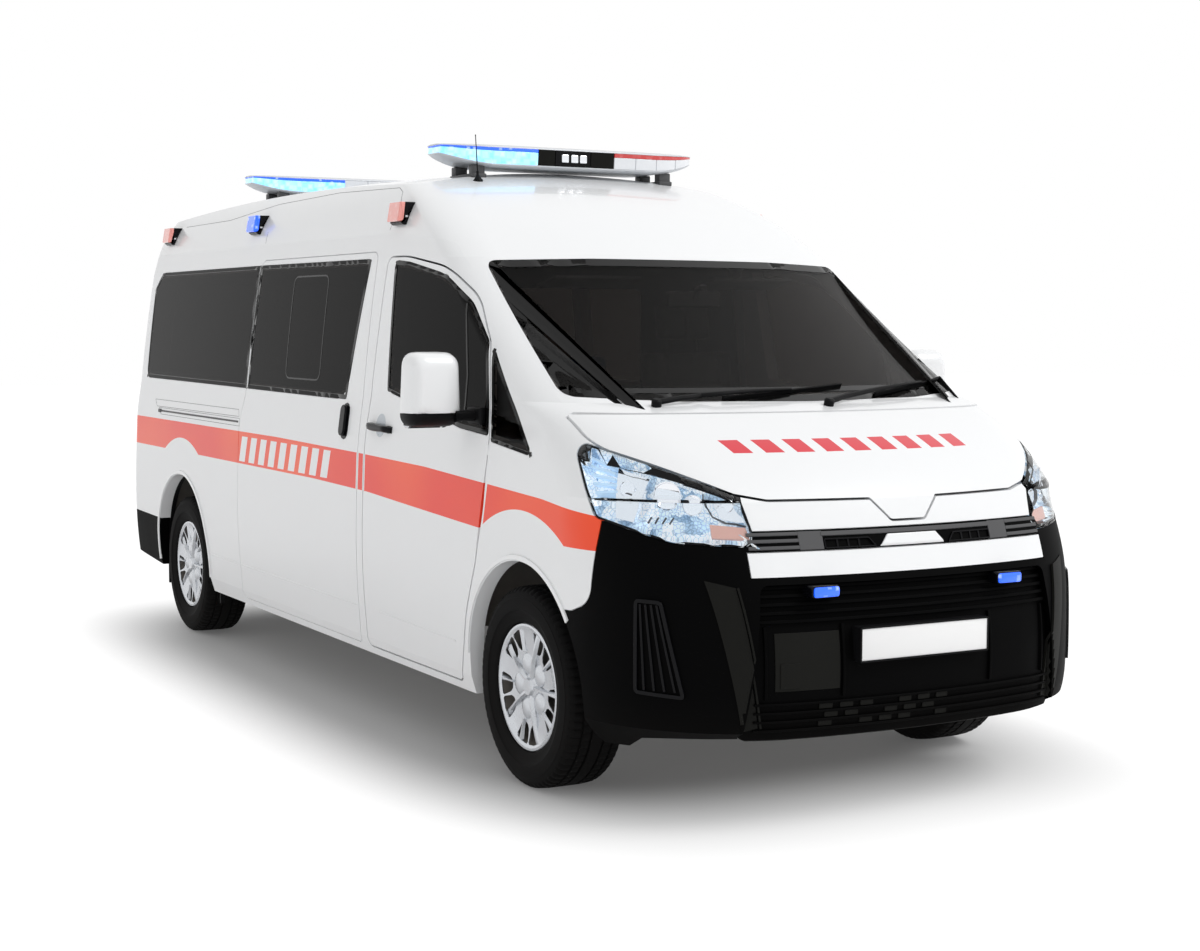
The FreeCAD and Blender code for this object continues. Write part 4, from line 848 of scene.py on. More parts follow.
LONG_SPOKE = ((0.020, 0.012, 0.004), (0.060, 0.010, 0.013), (0.105, 0.008, 0.014),
              (0.140, 0.008, 0.012), (0.175, 0.011, 0.010), (0.205, 0.018, 0.005))
SHORT_SPOKE = ((0.125, 0.006, 0.009), (0.150, 0.006, 0.009), (0.178, 0.009, 0.009),
               (0.203, 0.014, 0.009))


def spoke(bm, angle, along, narrow, rows):
    """A raised rib; rows are (radius, half width, rise), its top as wide as narrow says."""
    across = polar(1.0, angle + pi / 2)
    rings = []
    for radius, half, rise in rows:
        base, step = polar(radius, angle, along), across * half
        rings.append([base - step, base - step * narrow + Y * rise,
                      base + step * narrow + Y * rise, base + step])
    loft(bm, rings)


def make_cover():
    """Wheel cover in its own frame: outer side towards +Y, ten windows, five ribbed lobes."""
    bm = bmesh.new()
    inner = [(radius, along - 0.004) for radius, along in reversed(COVER)]
    spun(bm, COVER + inner, steps=120)
    bmesh.ops.recalc_face_normals(bm, faces=bm.faces)
    item = linked("cover", bm)
    windows = bmesh.new()
    for index in range(10):
        middle = radians(36 * index + (5 if index % 2 else -5))
        outline = [(0.136, -6.5), (0.150, -10.5), (0.194, -12.2), (0.202, -10.5), (0.204, 0),
                   (0.202, 10.5), (0.194, 12.2), (0.150, 10.5), (0.136, 6.5), (0.132, 0)]
        points = [polar(radius, middle + radians(angle), 0.03) for radius, angle in outline]
        plate(windows, points, (0, 0.09, 0))
    bmesh.ops.recalc_face_normals(windows, faces=windows.faces)
    cut_with(item, linked("cutter", windows))
    bm = bmesh.new()
    bm.from_mesh(item.data)
    bpy.data.objects.remove(item)
    for index in range(5):
        turn = radians(72 * index)
        other = turn + radians(36)
        spoke(bm, turn, 0.082, 0.45, LONG_SPOKE)
        lobe = bmesh.ops.create_uvsphere(bm, u_segments=24, v_segments=12, radius=1.0)["verts"]
        bmesh.ops.scale(bm, vec=(0.040, 0.014, 0.042), verts=lobe)
        bmesh.ops.rotate(bm, verts=lobe, matrix=Matrix.Rotation(-other, 3, "Y"))
        bmesh.ops.translate(bm, vec=polar(0.083, other, 0.078), verts=lobe)
        spoke(bm, other, 0.083, 0.4, SHORT_SPOKE)
    bmesh.ops.create_cone(bm, cap_ends=True, segments=36, radius1=0.034, radius2=0.028,
                          depth=0.012, matrix=Matrix.Translation((0, 0.091, 0)) @
                          Matrix.Rotation(radians(-90), 4, "X"))
    return bm


BARREL = [(0.2240, 0.0925), (0.2245, 0.0905), (0.2190, 0.0885), (0.2120, 0.085), (0.2080, 0.070),
          (0.2060, 0.020), (0.1980, -0.010), (0.2010, -0.080), (0.2150, -0.090), (0.2235, -0.0945),
          (0.2240, -0.098), (0.2130, -0.098), (0.1960, -0.078), (0.1930, -0.010)]


def make_wheels():
    """Tyre, cover, barrel and nuts of each wheel."""
    cover = make_cover()
    for corner in CORNERS:
        side = -1 if corner.endswith("right") else 1
        body = "wheel_" + corner
        make_tyre(corner)
        turned = Matrix.Translation(HUBS[corner]) @ Matrix.Scale(side, 4, Y)
        bm = cover.copy()
        bmesh.ops.transform(bm, matrix=turned, verts=bm.verts)
        trim = piece("wheel_cover_" + corner, bm, body, "silver", sharp=30)
        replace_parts(trim, "rim_" + corner)
        bm = bmesh.new()
        spun(bm, BARREL + [(0.1930, 0.010), (0.020, 0.034), (0.020, 0.048), (0.100, 0.046),
                           (0.1985, 0.030), (0.2020, 0.070), (0.2090, 0.0925)], closed=True)
        bmesh.ops.transform(bm, matrix=turned, verts=bm.verts)
        piece("wheel_barrel_" + corner, bm, body, "cast", sharp=40)
        bm = bmesh.new()
        for index in range(6):
            spot = polar(0.055, radians(60 * index), 0.052)
            bmesh.ops.create_cone(bm, cap_ends=True, segments=6, radius1=0.0115, radius2=0.0105,
                                  depth=0.022, matrix=Matrix.Translation(spot) @
                                  Matrix.Rotation(radians(-90), 4, "X"))
        bmesh.ops.transform(bm, matrix=turned, verts=bm.verts)
        piece("wheel_nuts_" + corner, bm, body, "silver", sharp=30)
    cover.free()


make_wheels()


# ------------------------------------------------------------------ pieces laid on the body
def front_at(y, z, lift=0.0):
    return on_face(y, z, lift)[0]


def rear_at(y, z, lift=0.0):
    return on_face(y, z, lift, REAR_SKIN, -1)[0]


def side_place(side):
    """Places (x, z) on one side of the body."""
    return lambda x, z, lift=0.0: on_side(x, z, side, lift)[0]


def resampled(points, spacing=0.03):
    """Points of a closed outline, close enough together to follow a curved surface."""
    points = [Vector(point) for point in points]
    made = []
    for a, b in zip(points, points[1:] + points[:1]):
        steps = max(1, ceil((b - a).length / spacing))
        made += [a.lerp(b, step / steps) for step in range(steps)]
    return made


def soft_corners(points, radius, steps=4):
    """An outline with its corners rounded."""
    points = [Vector(point) for point in points]
    made = []
    for before, point, after in zip(points[-1:] + points[:-1], points, points[1:] + points[:1]):
        a = point + (before - point).normalized() * radius
        b = point + (after - point).normalized() * radius
        for step in range(steps + 1):
            t = step / steps
            made.append(a * (1 - t) ** 2 + point * 2 * t * (1 - t) + b * t ** 2)
    return made


def inset(points, distance):
    """An outline moved inwards; it runs anticlockwise in its own two directions."""
    points = [Vector(point) for point in points]
    turning = sum(a.x * b.y - a.y * b.x for a, b in zip(points, points[1:] + points[:1]))
    sign = 1 if turning > 0 else -1
    made = []
    for before, point, after in zip(points[-1:] + points[:-1], points, points[1:] + points[:1]):
        ways = []
        for way in (point - before, after - point):
            if way.length > 1e-9:
                way = way.normalized()
                ways.append(Vector((-way.y, way.x)) * sign)
        normal = sum(ways, Vector((0, 0))).normalized()
        spread = max(0.5, normal.dot(ways[0]))
        made.append(point + normal * (distance / spread))
    return made


def ring_frame(bm, rings):
    """Skins rings of points that follow each other round a frame's section."""
    made = [[bm.verts.new(point) for point in ring] for ring in rings]
    for a, b in zip(made, made[1:] + made[:1]):
        bridge(bm, a, b)


def band(bm, outline, width, at, lift=0.0012, sink=0.002):
    """A flat frame laid on a surface inside an outline, its width measured on the surface."""
    outer = resampled(outline)
    inner = []
    for point, probe in zip(outer, inset(outer, width)):
        share = 1.0
        for _ in range(2):
            end = point.lerp(probe, share)
            run = (at(end.x, end.y, 0.0) - at(point.x, point.y, 0.0)).length
            share = min(1.0, max(0.08, share * width / max(run, 1e-4)))
        inner.append(point.lerp(probe, share))
    rings = [[at(p.x, p.y, level) for p in ring] for ring, level in (
        (outer, -sink), (outer, lift), (inner, lift), (inner, -sink))]
    ring_frame(bm, rings)


def patch(bm, corners, at, lift=0.003, sink=0.003, across=8, up=3):
    """A slab over four corners (u, v), in order round the patch, that follows a surface."""
    a, b, c, d = [Vector(corner) for corner in corners]
    layers = []
    for level in (-sink, lift):
        grid = []
        for row in range(up + 1):
            low, high = a.lerp(d, row / up), b.lerp(c, row / up)
            spots = [low.lerp(high, step / across) for step in range(across + 1)]
            grid.append([bm.verts.new(at(spot.x, spot.y, level)) for spot in spots])
        layers.append(grid)
    for grid in layers:
        for low, high in zip(grid, grid[1:]):
            bridge(bm, low, high, closed=False)
    under, over = [[grid[0][i] for i in range(across + 1)] +
                   [grid[j][across] for j in range(1, up + 1)] +
                   [grid[up][i] for i in range(across - 1, -1, -1)] +
                   [grid[j][0] for j in range(up - 1, 0, -1)] for grid in layers]
    bridge(bm, under, over)


def disc(bm, outline, at, lift=0.003, sink=0.003):
    """A small flat-topped slab of any outline laid on a surface."""
    outline = [Vector(point) for point in outline]
    rings = [[bm.verts.new(at(p.x, p.y, level)) for p in outline] for level in (-sink, lift)]
    bridge(bm, rings[0], rings[1])
    for ring in rings:
        bm.faces.new(ring)


def run_of(at, points, spacing=0.04):
    """Points and outward directions along a line of (u, v) points laid on a surface."""
    points = [Vector(point) for point in points]
    path = []
    for a, b in zip(points, points[1:]):
        steps = max(1, ceil((b - a).length / spacing))
        path += [a.lerp(b, step / steps) for step in range(steps)]
    path.append(points[-1])
    spots = [at(point.x, point.y, 0.0) for point in path]
    lifted = [at(point.x, point.y, 0.01) for point in path]
    return spots, [(high - low).normalized() for low, high in zip(spots, lifted)]


def rail_on(bm, at, points, wide, thick, sink=0.002, spacing=0.04):
    """A flat bar along a line of (u, v) points on a surface."""
    spots, normals = run_of(at, points, spacing)
    strip(bm, spots, normals, wide, thick, sink)


def ellipse(u, v, across, up, steps=28):
    return [(u + across * cos(2 * pi * i / steps),
             v + up * sin(2 * pi * i / steps)) for i in range(steps)]


def box_outline(u, v, across, up, radius=0.0):
    return [(u + p, v + q) for p, q in rounded(across, up, radius or 0.001, 3)]


# ------------------------------------------------------------------ nose
GRILLE_SLATS = (0.783, 0.757, 0.731, 0.705, 0.679)
LOW_SLATS = (0.420, 0.392, 0.364, 0.336)


def make_nose():
    """The dark band with its vents, the slats of the lower grille, the plate and the facets."""
    bm = bmesh.new()
    for side in (-1, 1):
        for z in (0.951, 0.930, 0.909):
            rail_on(bm, front_at, [(side * 0.425, z), (side * 0.594, z)], 0.013, 0.004)
        patch(bm, oblong(side * 0.34, 0.900, side * 0.425, 0.957), front_at, 0.0035, 0.003, 4, 2)
    rail_on(bm, front_at, [(-0.345, 0.948), (0.345, 0.948)], 0.017, 0.005)
    piece("nose_band_ribs", bm, "van", "mid_grey", bevel=0.0012)

    bm = bmesh.new()
    for side in (-1, 1):
        outline = [(side * 0.172, 0.932), (side * 0.338, 0.932), (side * 0.338, 0.901),
                   (side * 0.146, 0.901)]
        band(bm, soft_corners(outline, 0.006), 0.004, front_at, 0.006, 0.002)
        for y in (0.21, 0.25, 0.29):
            rail_on(bm, front_at, [(side * y, 0.904), (side * y, 0.929)], 0.008, 0.003)
    piece("nose_vent_frames", bm, "van", "gloss_black", bevel=0.001)

    bm = bmesh.new()
    patch(bm, [(-0.135, 0.8965), (0.135, 0.8965), (0.098, 0.938), (-0.098, 0.938)], front_at,
          0.006, 0.003, 8, 4)
    piece("nose_tongue", bm, "van", "white", bevel=0.003, segments=3)

    bm = bmesh.new()
    for z in GRILLE_SLATS:
        half = 0.578 + (0.796 - z) * 0.125 - 0.012
        rail_on(bm, front_at, [(-half, z), (half, z)], 0.013, 0.013)
    for z in LOW_SLATS:
        rail_on(bm, front_at, [(-0.60, z), (0.60, z)], 0.009, 0.011)
    for y in (-0.565, -0.30, 0.30, 0.565):
        rail_on(bm, front_at, [(y, 0.435), (y, 0.664)], 0.012, 0.009)
    piece("grille_slats", bm, "van", "bumper", bevel=0.0015)

    bm = bmesh.new()
    for row, z in enumerate((0.406, 0.378, 0.350)):
        for step in range(7):
            y = -0.36 + step * 0.075 + (0.02 if row % 2 else 0.0)
            if (step + row) % 4 != 3:
                disc(bm, box_outline(y, z, 0.024, 0.0085, 0.003), front_at, 0.004, 0.002)
    patch(bm, oblong(-0.536, 0.460, -0.312, 0.644), front_at, 0.003, 0.003, 10, 4)
    patch(bm, oblong(-0.520, 0.468, -0.452, 0.548), front_at, 0.0055, 0.002, 4, 3)
    piece("grille_blocks", bm, "van", "dark_grey", bevel=0.001)

    bm = bmesh.new()
    for side in (-1, 1):
        corners = [(side * 0.735, 0.812), (side * 0.652, 0.790), (side * 0.584, 0.345),
                   (side * 0.640, 0.330)]
        patch(bm, corners, front_at, 0.003, 0.003, 6, 14)
        rail_on(bm, front_at, [(side * 0.646, 0.790), (side * 0.576, 0.345)], 0.008, 0.008)
    piece("bumper_facets", bm, "van", "dark_grey", bevel=0.002)

    bm = bmesh.new()
    rear, front = [corner[0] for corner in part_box("number_plate")]
    block(bm, (rear, -0.258, 0.5445), (front - 0.0020, 0.258, 0.6515), 0.0012)
    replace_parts(piece("front_plate", bm, "van", "plate", bevel=0.0), "number_plate")
    bm = bmesh.new()
    outline = oblong(-0.262, 0.541, 0.262, 0.655)
    outer = soft_corners(outline, 0.008)
    inner = inset(outer, 0.006)
    ring_frame(bm, [[(x, p.x, p.y) for p in ring] for ring, x in (
        (outer, rear), (outer, front), (inner, front), (inner, rear))])
    piece("front_plate_frame", bm, "van", "trim")


def corner_at(side, tree=FACE_SKIN):
    """Places (across, up) on a bumper corner or headlight, seen from 45 degrees outside."""
    ahead = Vector((1, side, 0)).normalized()
    across = Vector((-1, side, 0)).normalized()

    def at(u, z, lift=0.0):
        start = ahead * 5.0 + across * u + Vector((0, 0, z))
        return cast(tree, start, -ahead, lift, start - ahead * 2.6)[0]
    return at


def corner_across(x, y):
    """The across number of a point in the view that corner_at uses."""
    return (-x + abs(y)) / sqrt(2)


def make_fog_recess():
    """Frame and upright slats at each bumper corner."""
    for name, side in SIDES:
        at = corner_at(side)
        left, right = corner_across(2.616, -0.893), corner_across(2.756, -0.788)
        bm = bmesh.new()
        outline = [(left, 0.446), (right, 0.437), (right + 0.080, 0.745), (left, 0.748)]
        band(bm, soft_corners(outline, 0.018), 0.012, at, 0.009, 0.003)
        for step in range(1, 5):
            u = left + (right - left) * step / 5
            rail_on(bm, at, [(u, 0.458), (u + 0.080 * step / 5, 0.732)], 0.010, 0.006)
        piece("fog_recess_" + name, bm, "van", "gloss_black", bevel=0.0015)


make_nose()
make_fog_recess()


# ------------------------------------------------------------------ headlights
LAMP = ((-0.943, 1.234), (-1.513, 1.090), (-1.592, 0.912), (-1.330, 0.925), (-1.059, 0.992))
LAMP_GRID = ((-1.000, 1.190), (-1.105, 1.160), (-1.125, 1.085), (-1.040, 1.075))
LAMP_PANEL = ((-1.118, 1.160), (-1.232, 1.130), (-1.190, 0.985), (-1.122, 0.995))
LAMP_DROP = ((-1.425, 1.088), (-1.496, 1.065), (-1.553, 0.990), (-1.480, 1.003))
LAMP_AMBER = ((-1.445, 0.985), (-1.552, 0.975), (-1.568, 0.938), (-1.455, 0.942))


def open_piece(name, bm, body, material, thick, sharp=40.0):
    """A piece made of an open surface, given a thickness behind it."""
    item = piece(name, bm, body, material, sharp=sharp, fix_normals=False)
    wall = item.modifiers.new("wall", "SOLIDIFY")
    wall.thickness, wall.offset = thick, -1.0
    return item


def make_headlights():
    """Thin clear lens over a bright bowl with its reflectors, grid and amber corner."""
    mesh = frame["nodes"]["headlights"].data
    lens = bmesh.new()
    index = {}
    for face in mesh.polygons:
        side = -1 if face.center.y < 0 else 1
        ahead = Vector((1, side, 0)).normalized()
        if face.normal.dot(ahead) < 0.15:
            continue
        gap = LAMP_SKIN.ray_cast(face.center + ahead * 3.0, -ahead)[3]
        if abs(gap - 3.0) < 0.003:
            for i in face.vertices:
                index.setdefault(i, lens.verts.new(mesh.vertices[i].co))
            lens.faces.new([index[i] for i in face.vertices])
    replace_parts(open_piece("headlight_lenses", lens, "van", "lens", 0.0025), "headlights")

    for name, side in SIDES:
        at = corner_at(side, LAMP_SKIN)

        def sunk(depth, at=at):
            """Places on the lens moved in towards the bowl."""
            return lambda u, z, lift: at(u, z, lift - depth)

        outline = resampled(inset(soft_corners(LAMP, 0.012), 0.0015), 0.03)
        bm = bmesh.new()
        rings = []
        for step, depth in ((0.0, 0.003), (0.004, 0.016), (0.010, 0.038)):
            rings.append([bm.verts.new(at(p.x, p.y, -depth)) for p in inset(outline, step)])
        for a, b in zip(rings, rings[1:]):
            bridge(bm, a, b)
        centre = sum((vert.co for vert in rings[-1]), Vector()) / len(rings[-1])
        middle = bm.verts.new(centre)
        for a, b in zip(rings[-1], rings[-1][1:] + rings[-1][:1]):
            bm.faces.new((a, b, middle))
        bmesh.ops.recalc_face_normals(bm, faces=bm.faces)
        open_piece("headlight_bowl_painted_light_" + name, bm, "van", "lamp_silver_painted_glow", 0.002, 60)

        bm = bmesh.new()
        band(bm, soft_corners(LAMP, 0.014), 0.007, at, 0.0012, 0.004)
        piece("headlight_edge_" + name, bm, "van", "gloss_black")

        bm = bmesh.new()
        a, b, c, d = [Vector(p) for p in LAMP_GRID]
        for share in (0.0, 0.25, 0.5, 0.75, 1.0):
            rail_on(bm, sunk(0.030), [a.lerp(d, share), b.lerp(c, share)], 0.011, 0.010, 0.010)
        piece("headlight_grid_painted_glow_" + name, bm, "van", "lamp_blue_painted_glow", bevel=0.0015)

        bm = bmesh.new()
        patch(bm, LAMP_PANEL, sunk(0.034), 0.012, 0.010, 3, 4)
        patch(bm, LAMP_DROP, sunk(0.030), 0.010, 0.010, 3, 4)
        for u, z, radius in ((-1.300, 1.068, 0.046), (-1.385, 1.040, 0.034), (-1.165, 1.085, 0.026),
                             (-1.488, 1.040, 0.022)):
            spots = []
            for reach, depth in ((1.0, 0.018), (0.92, 0.016), (0.78, 0.026), (0.45, 0.034),
                                 (0.22, 0.036), (0.20, 0.022), (0.08, 0.019)):
                spots.append([at(u, z, 0.0) + at_turn(side, p, reach * radius) -
                              Vector((1, side, 0)).normalized() * depth
                              for p in ellipse(0, 0, 1, 1, 32)])
            loft(bm, spots, caps=True)
        piece("headlight_reflectors_" + name, bm, "van", "chrome", sharp=30)

        bm = bmesh.new()
        patch(bm, LAMP_AMBER, sunk(0.012), 0.006, 0.006, 6, 2)
        piece("headlight_amber_" + name, bm, "van", "lamp_amber", bevel=0.002)

        bm = bmesh.new()
        marks = sunk(0.024)
        rail_on(bm, marks, [(-1.405, 1.115), (-1.420, 1.060), (-1.452, 1.010), (-1.495, 0.992),
                           (-1.560, 0.986)], 0.004, 0.010)
        for z in (1.045, 1.065, 1.085, 1.105):
            rail_on(bm, marks, [(-1.150, z), (-1.178, z - 0.006)], 0.006, 0.003)
        for u in (-1.24, -1.265, -1.29, -1.315):
            rail_on(bm, marks, [(u, 0.985), (u - 0.012, 1.005)], 0.005, 0.004)
        piece("headlight_marks_" + name, bm, "van", "mid_grey")


def at_turn(side, point, reach):
    """A step across the lamp's own view."""
    across = Vector((-1, side, 0)).normalized()
    return across * (point[0] * reach) + Z * (point[1] * reach)


make_headlights()


# ------------------------------------------------------------------ lights on the roof
BAR_TALL = 0.094
FRONT_BAR, REAR_BAR = [(bar_x, on_top(bar_x, 0.0)[0].z + 0.012)
                       for bar_x in (FRONT_AXLE - 1.487, REAR_AXLE + 0.048)]
BAR_ENDS = ((0.0, 0.148), (0.30, 0.148), (0.44, 0.138), (0.54, 0.112), (0.59, 0.085),
            (0.612, 0.060))


def bar_half(y):
    """Half the width of a light bar at a distance from its middle."""
    y = abs(y)
    for (low_y, low), (high_y, high) in zip(BAR_ENDS, BAR_ENDS[1:]):
        if y <= high_y:
            return low + (high - low) * (y - low_y) / (high_y - low_y)
    return BAR_ENDS[-1][1]


def bar_rise(y):
    """How far the bar's underside sweeps up towards its ends."""
    share = min(1.0, max(0.0, (abs(y) - 0.36) / 0.25))
    return 0.050 * share * share


def bar_part(bm, centre_x, base, start, end, rows, step=0.03):
    """A length of the bar: rows are (height, inset from the widest outline)."""
    count = max(1, ceil(abs(end - start) / step))
    rings = []
    for i in range(count + 1):
        y = start + (end - start) * i / count
        half, rise = bar_half(y), bar_rise(y)
        low_side = [Vector((centre_x + half - inward, y,
                            base + up + rise * (1 - up / BAR_TALL))) for up, inward in rows]
        rings.append(low_side + [Vector((2 * centre_x - p.x, y, p.z)) for p in reversed(low_side)])
    loft(bm, rings)


def make_bar(name, centre_x, base, sections):
    """A light bar: tray, coloured lens sections, cap and feet."""
    bm = bmesh.new()
    bar_part(bm, centre_x, base, -0.611, 0.611, ((0.001, 0.030), (0.008, 0.012), (0.013, 0.009)))
    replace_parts(piece("bar_tray_" + name, bm, "van", "bar_shell", bevel=0.002), "light_bars")
    bm = bmesh.new()
    bar_part(bm, centre_x, base, -0.609, 0.609, ((0.0795, 0.002), (0.084, 0.003), (0.0925, 0.034)))
    piece("bar_cap_" + name, bm, "van", "bar_shell", bevel=0.002)
    for number, (start, end, low, high, material) in enumerate(sections):
        bm = bmesh.new()
        rows = ((low, 0.010 - 0.1 * (low - 0.013)), (high, 0.010 - 0.1 * (high - 0.013)))
        bar_part(bm, centre_x, base, start + 0.0015, end - 0.0015, rows)
        piece("bar_lens_%s_%d" % (name, number), bm, "van", material, bevel=0.0012)
    bm = bmesh.new()
    for side in (-1, 1):
        for reach in (-1, 1):
            foot = on_top(centre_x + reach * 0.085, side * 0.45)[0]
            block(bm, (foot.x - 0.022, foot.y - 0.028, foot.z - 0.003),
                  (foot.x + 0.022, foot.y + 0.028, base + 0.009), 0.005)
        low = on_top(centre_x, side * 0.45)[0]
        block(bm, (low.x - 0.115, low.y - 0.032, low.z - 0.012),
              (low.x + 0.115, low.y + 0.032, low.z + 0.006), 0.004)
    piece("bar_feet_" + name, bm, "van", "mid_grey")


def modules(start, end, count, low, high, material):
    """Equal lens sections of a light bar: start, end, foot, top and finish of each."""
    pitch = (end - start) / count
    return [(start + pitch * i, start + pitch * (i + 1), low, high, material)
            for i in range(count)]


make_bar("front", *FRONT_BAR,
         modules(-0.606, -0.19, 1, 0.066, 0.079, "blue_lit") +
         modules(-0.606, -0.19, 4, 0.014, 0.065, "blue_core") +
         modules(-0.19, -0.11, 1, 0.014, 0.079, "dark_grey") +
         modules(-0.11, 0.06, 1, 0.014, 0.079, "gloss_black") +
         modules(0.06, 0.175, 1, 0.014, 0.079, "dark_grey") +
         modules(0.175, 0.606, 1, 0.062, 0.079, "red_lens") +
         modules(0.175, 0.606, 4, 0.014, 0.061, "clear_ribbed"))
make_bar("rear", *REAR_BAR,
         modules(-0.606, -0.13, 1, 0.066, 0.079, "blue_lit") +
         modules(-0.606, -0.13, 4, 0.014, 0.065, "blue_core") +
         modules(-0.13, 0.13, 2, 0.014, 0.079, "clear_ribbed") +
         modules(0.13, 0.606, 4, 0.014, 0.079, "red_lens"))
bm = bmesh.new()
centre_x, base = FRONT_BAR
for y in (-0.065, -0.02, 0.022):
    block(bm, (centre_x + 0.138, y - 0.017, base + 0.030),
          (centre_x + 0.1495, y + 0.017, base + 0.064), 0.004, 3)
piece("bar_lamps", bm, "van", "chrome")

MARKERS = ((FRONT_AXLE - 1.290, 2.049, "red_pale"), (REAR_AXLE + 0.805, 2.077, "blue_lit"),
           (TAIL + 0.460, 2.073, "red_pale"))
MARKER_CASE = ((-0.030, 0.0455), (0.022, 0.0455), (0.030, -0.032), (0.044, -0.034),
               (0.030, -0.0455), (-0.012, -0.0455))
MARKER_LENS = ((0.018, 0.0455), (0.043, 0.0455), (0.0555, -0.029), (0.050, -0.0325), (0.027, -0.031))


def make_markers():
    """Wedge lamps along the roof's edges: dark case and a lens, and those in the grille."""
    cases, lenses, studs = bmesh.new(), {}, bmesh.new()
    for _, side in SIDES:
        for x, z, material in MARKERS:
            foot = on_side(x, z, side)[0].y * side

            def wedge(outline, levels):
                shape = soft_corners([Vector(point) for point in outline], 0.003)
                return [[Vector((x + u, side * (foot + p.x), z + p.y))
                         for p in (inset(shape, shrink) if shrink else shape)]
                        for u, shrink in levels]

            loft(cases, wedge(MARKER_CASE, ((-0.0565, 0.003), (-0.053, 0.0), (0.053, 0.0),
                                            (0.0565, 0.003))))
            bm = lenses.setdefault(material, bmesh.new())
            loft(bm, wedge(MARKER_LENS, ((-0.0572, 0.004), (-0.052, 0.0), (0.050, 0.0),
                                         (0.0552, 0.004))))
            spot = Vector((x + 0.0555, side * (foot + 0.016), z - 0.012))
            block(studs, spot - Vector((0.002, 0.006, 0.004)), spot + Vector((0.0015, 0.006, 0.004)),
                  0.001, 2)
    bm = lenses.setdefault("blue_lit", bmesh.new())
    face_x = NOSE - 0.0325
    for side in (-1, 1):
        for target, levels in (
                (cases, ((-0.055, 0.054, 0.020), (-0.004, 0.054, 0.020), (0.0, 0.052, 0.018))),
                (bm, ((-0.002, 0.049, 0.0165), (0.004, 0.048, 0.016), (0.007, 0.042, 0.011)))):
            loft(target, [[Vector((face_x + out, side * 0.375 + u, 0.773 + v))
                           for u, v in rounded(across, up, 0.008, 3)]
                          for out, across, up in levels])
    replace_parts(piece("marker_cases", cases, "van", "gloss_black"), "warning_lights")
    piece("marker_studs", studs, "van", "aluminium")
    for material, bm in lenses.items():
        piece("marker_lenses_" + material, bm, "van", material)


make_markers()


# ------------------------------------------------------------------ door mirrors
def make_mirror(name, side):
    """White shell over a dark base, a glass behind, an arm and a foot on the door."""
    body = name + "_front_door"
    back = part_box("door_mirror_" + name)[0][0] + 0.001
    inner, outer = 1.003, 1.210
    foot_z, split, top_z = 1.243, 1.292, 1.510

    def ring(x, shrink, low_z, high_z):
        """The housing's outline at an X, between two heights."""
        points = []
        for y, z in soft_corners([(inner, foot_z), (outer, foot_z), (outer - 0.012, top_z),
                                  (inner + 0.010, top_z)], 0.050, 6):
            z = 1.376 + (z - 1.376) * shrink
            y = (inner + outer) / 2 + (y - (inner + outer) / 2) * shrink
            points.append((x, side * y, min(max(z, low_z), high_z)))
        return points

    for label, low_z, high_z, material in (("shell", split + 0.001, 2.0, "white"),
                                           ("base", 0.0, split - 0.001, "trim")):
        bm = bmesh.new()
        rings = [ring(back + depth, shrink, low_z, high_z) for depth, shrink in (
            (0.0, 0.985), (0.006, 1.0), (0.060, 0.995), (0.092, 0.93), (0.110, 0.80),
            (0.117, 0.62))]
        loft(bm, rings)
        bmesh.ops.remove_doubles(bm, verts=bm.verts, dist=0.0002)
        item = piece("mirror_%s_%s" % (label, name), bm, body, material, sharp=50)
        if label == "shell":
            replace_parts(item, "door_mirror_" + name)
    bm = bmesh.new()
    middle = (inner + outer) / 2
    for up, z in ((0.098, 1.395), (0.026, 1.262)):
        loft(bm, [[(back + depth, side * (middle + u), z + v)
                   for u, v in rounded(0.088, up, 0.018, 4)] for depth in (-0.0005, 0.003)])
    piece("mirror_glass_" + name, bm, body, "mirror")
    bm = bmesh.new()
    hinge = on_side(FRONT_AXLE - 0.356, 1.282, side)[0].y * side
    block_y = sorted((side * (hinge - 0.004), side * (hinge + 0.024)))
    block(bm, (FRONT_AXLE - 0.411, block_y[0], 1.2515), (FRONT_AXLE - 0.302, block_y[1], 1.313),
          0.008, 3)
    rings = []
    for y, drop, half_x, half_z in ((hinge + 0.010, 0.0, 0.042, 0.020), (1.000, 0.001, 0.036, 0.018),
                                    (1.040, 0.002, 0.040, 0.020)):
        rings.append([(FRONT_AXLE - 0.376 + u, side * y, 1.283 - drop + v)
                      for u, v in rounded(half_x, half_z, 0.012, 3)])
    loft(bm, rings)
    piece("mirror_arm_" + name, bm, body, "trim")


for name, side in SIDES:
    make_mirror(name, side)


# ------------------------------------------------------------------ glass borders and seams
WINDSCREEN = ((-0.846, 1.368), (-0.500, 1.350), (0.0, 1.345), (0.500, 1.350), (0.846, 1.368),
              (0.786, 1.846), (0.400, 1.856), (-0.400, 1.856), (-0.786, 1.846))
TAIL_GLASS = ((-0.672, 1.305), (0.672, 1.305), (0.618, 1.850), (-0.618, 1.850))
DOOR_GLASS = [(FRONT_AXLE + x, z) for x, z in (
    (-0.265, 1.218), (-0.336, 1.545), (-0.519, 1.690), (-0.747, 1.795), (-1.117, 1.852),
    (-1.255, 1.860), (-1.208, 1.342), (-0.504, 1.231))]
QUARTER = [(FRONT_AXLE + x, z) for x, z in ((0.092, 1.162), (-0.300, 1.528), (-0.236, 1.196))]
MIDDLE = [(FRONT_AXLE + x, z) for x, z in (
    (-1.511, 1.873), (-1.640, 1.293), (-2.894, 1.300), (-2.856, 1.878))]
REAR_PANE = [(FRONT_AXLE - 2.922, 1.301), (FRONT_AXLE - 2.884, 1.878), (TAIL + 0.440, 1.876),
             (TAIL + 0.334, 1.790), (TAIL + 0.322, 1.309)]


def border(bm, outline, corner, width, at):
    """A thin printed frame inside an outline with rounded corners."""
    band(bm, soft_corners(outline, corner), width, at, 0.0010, 0.0015)


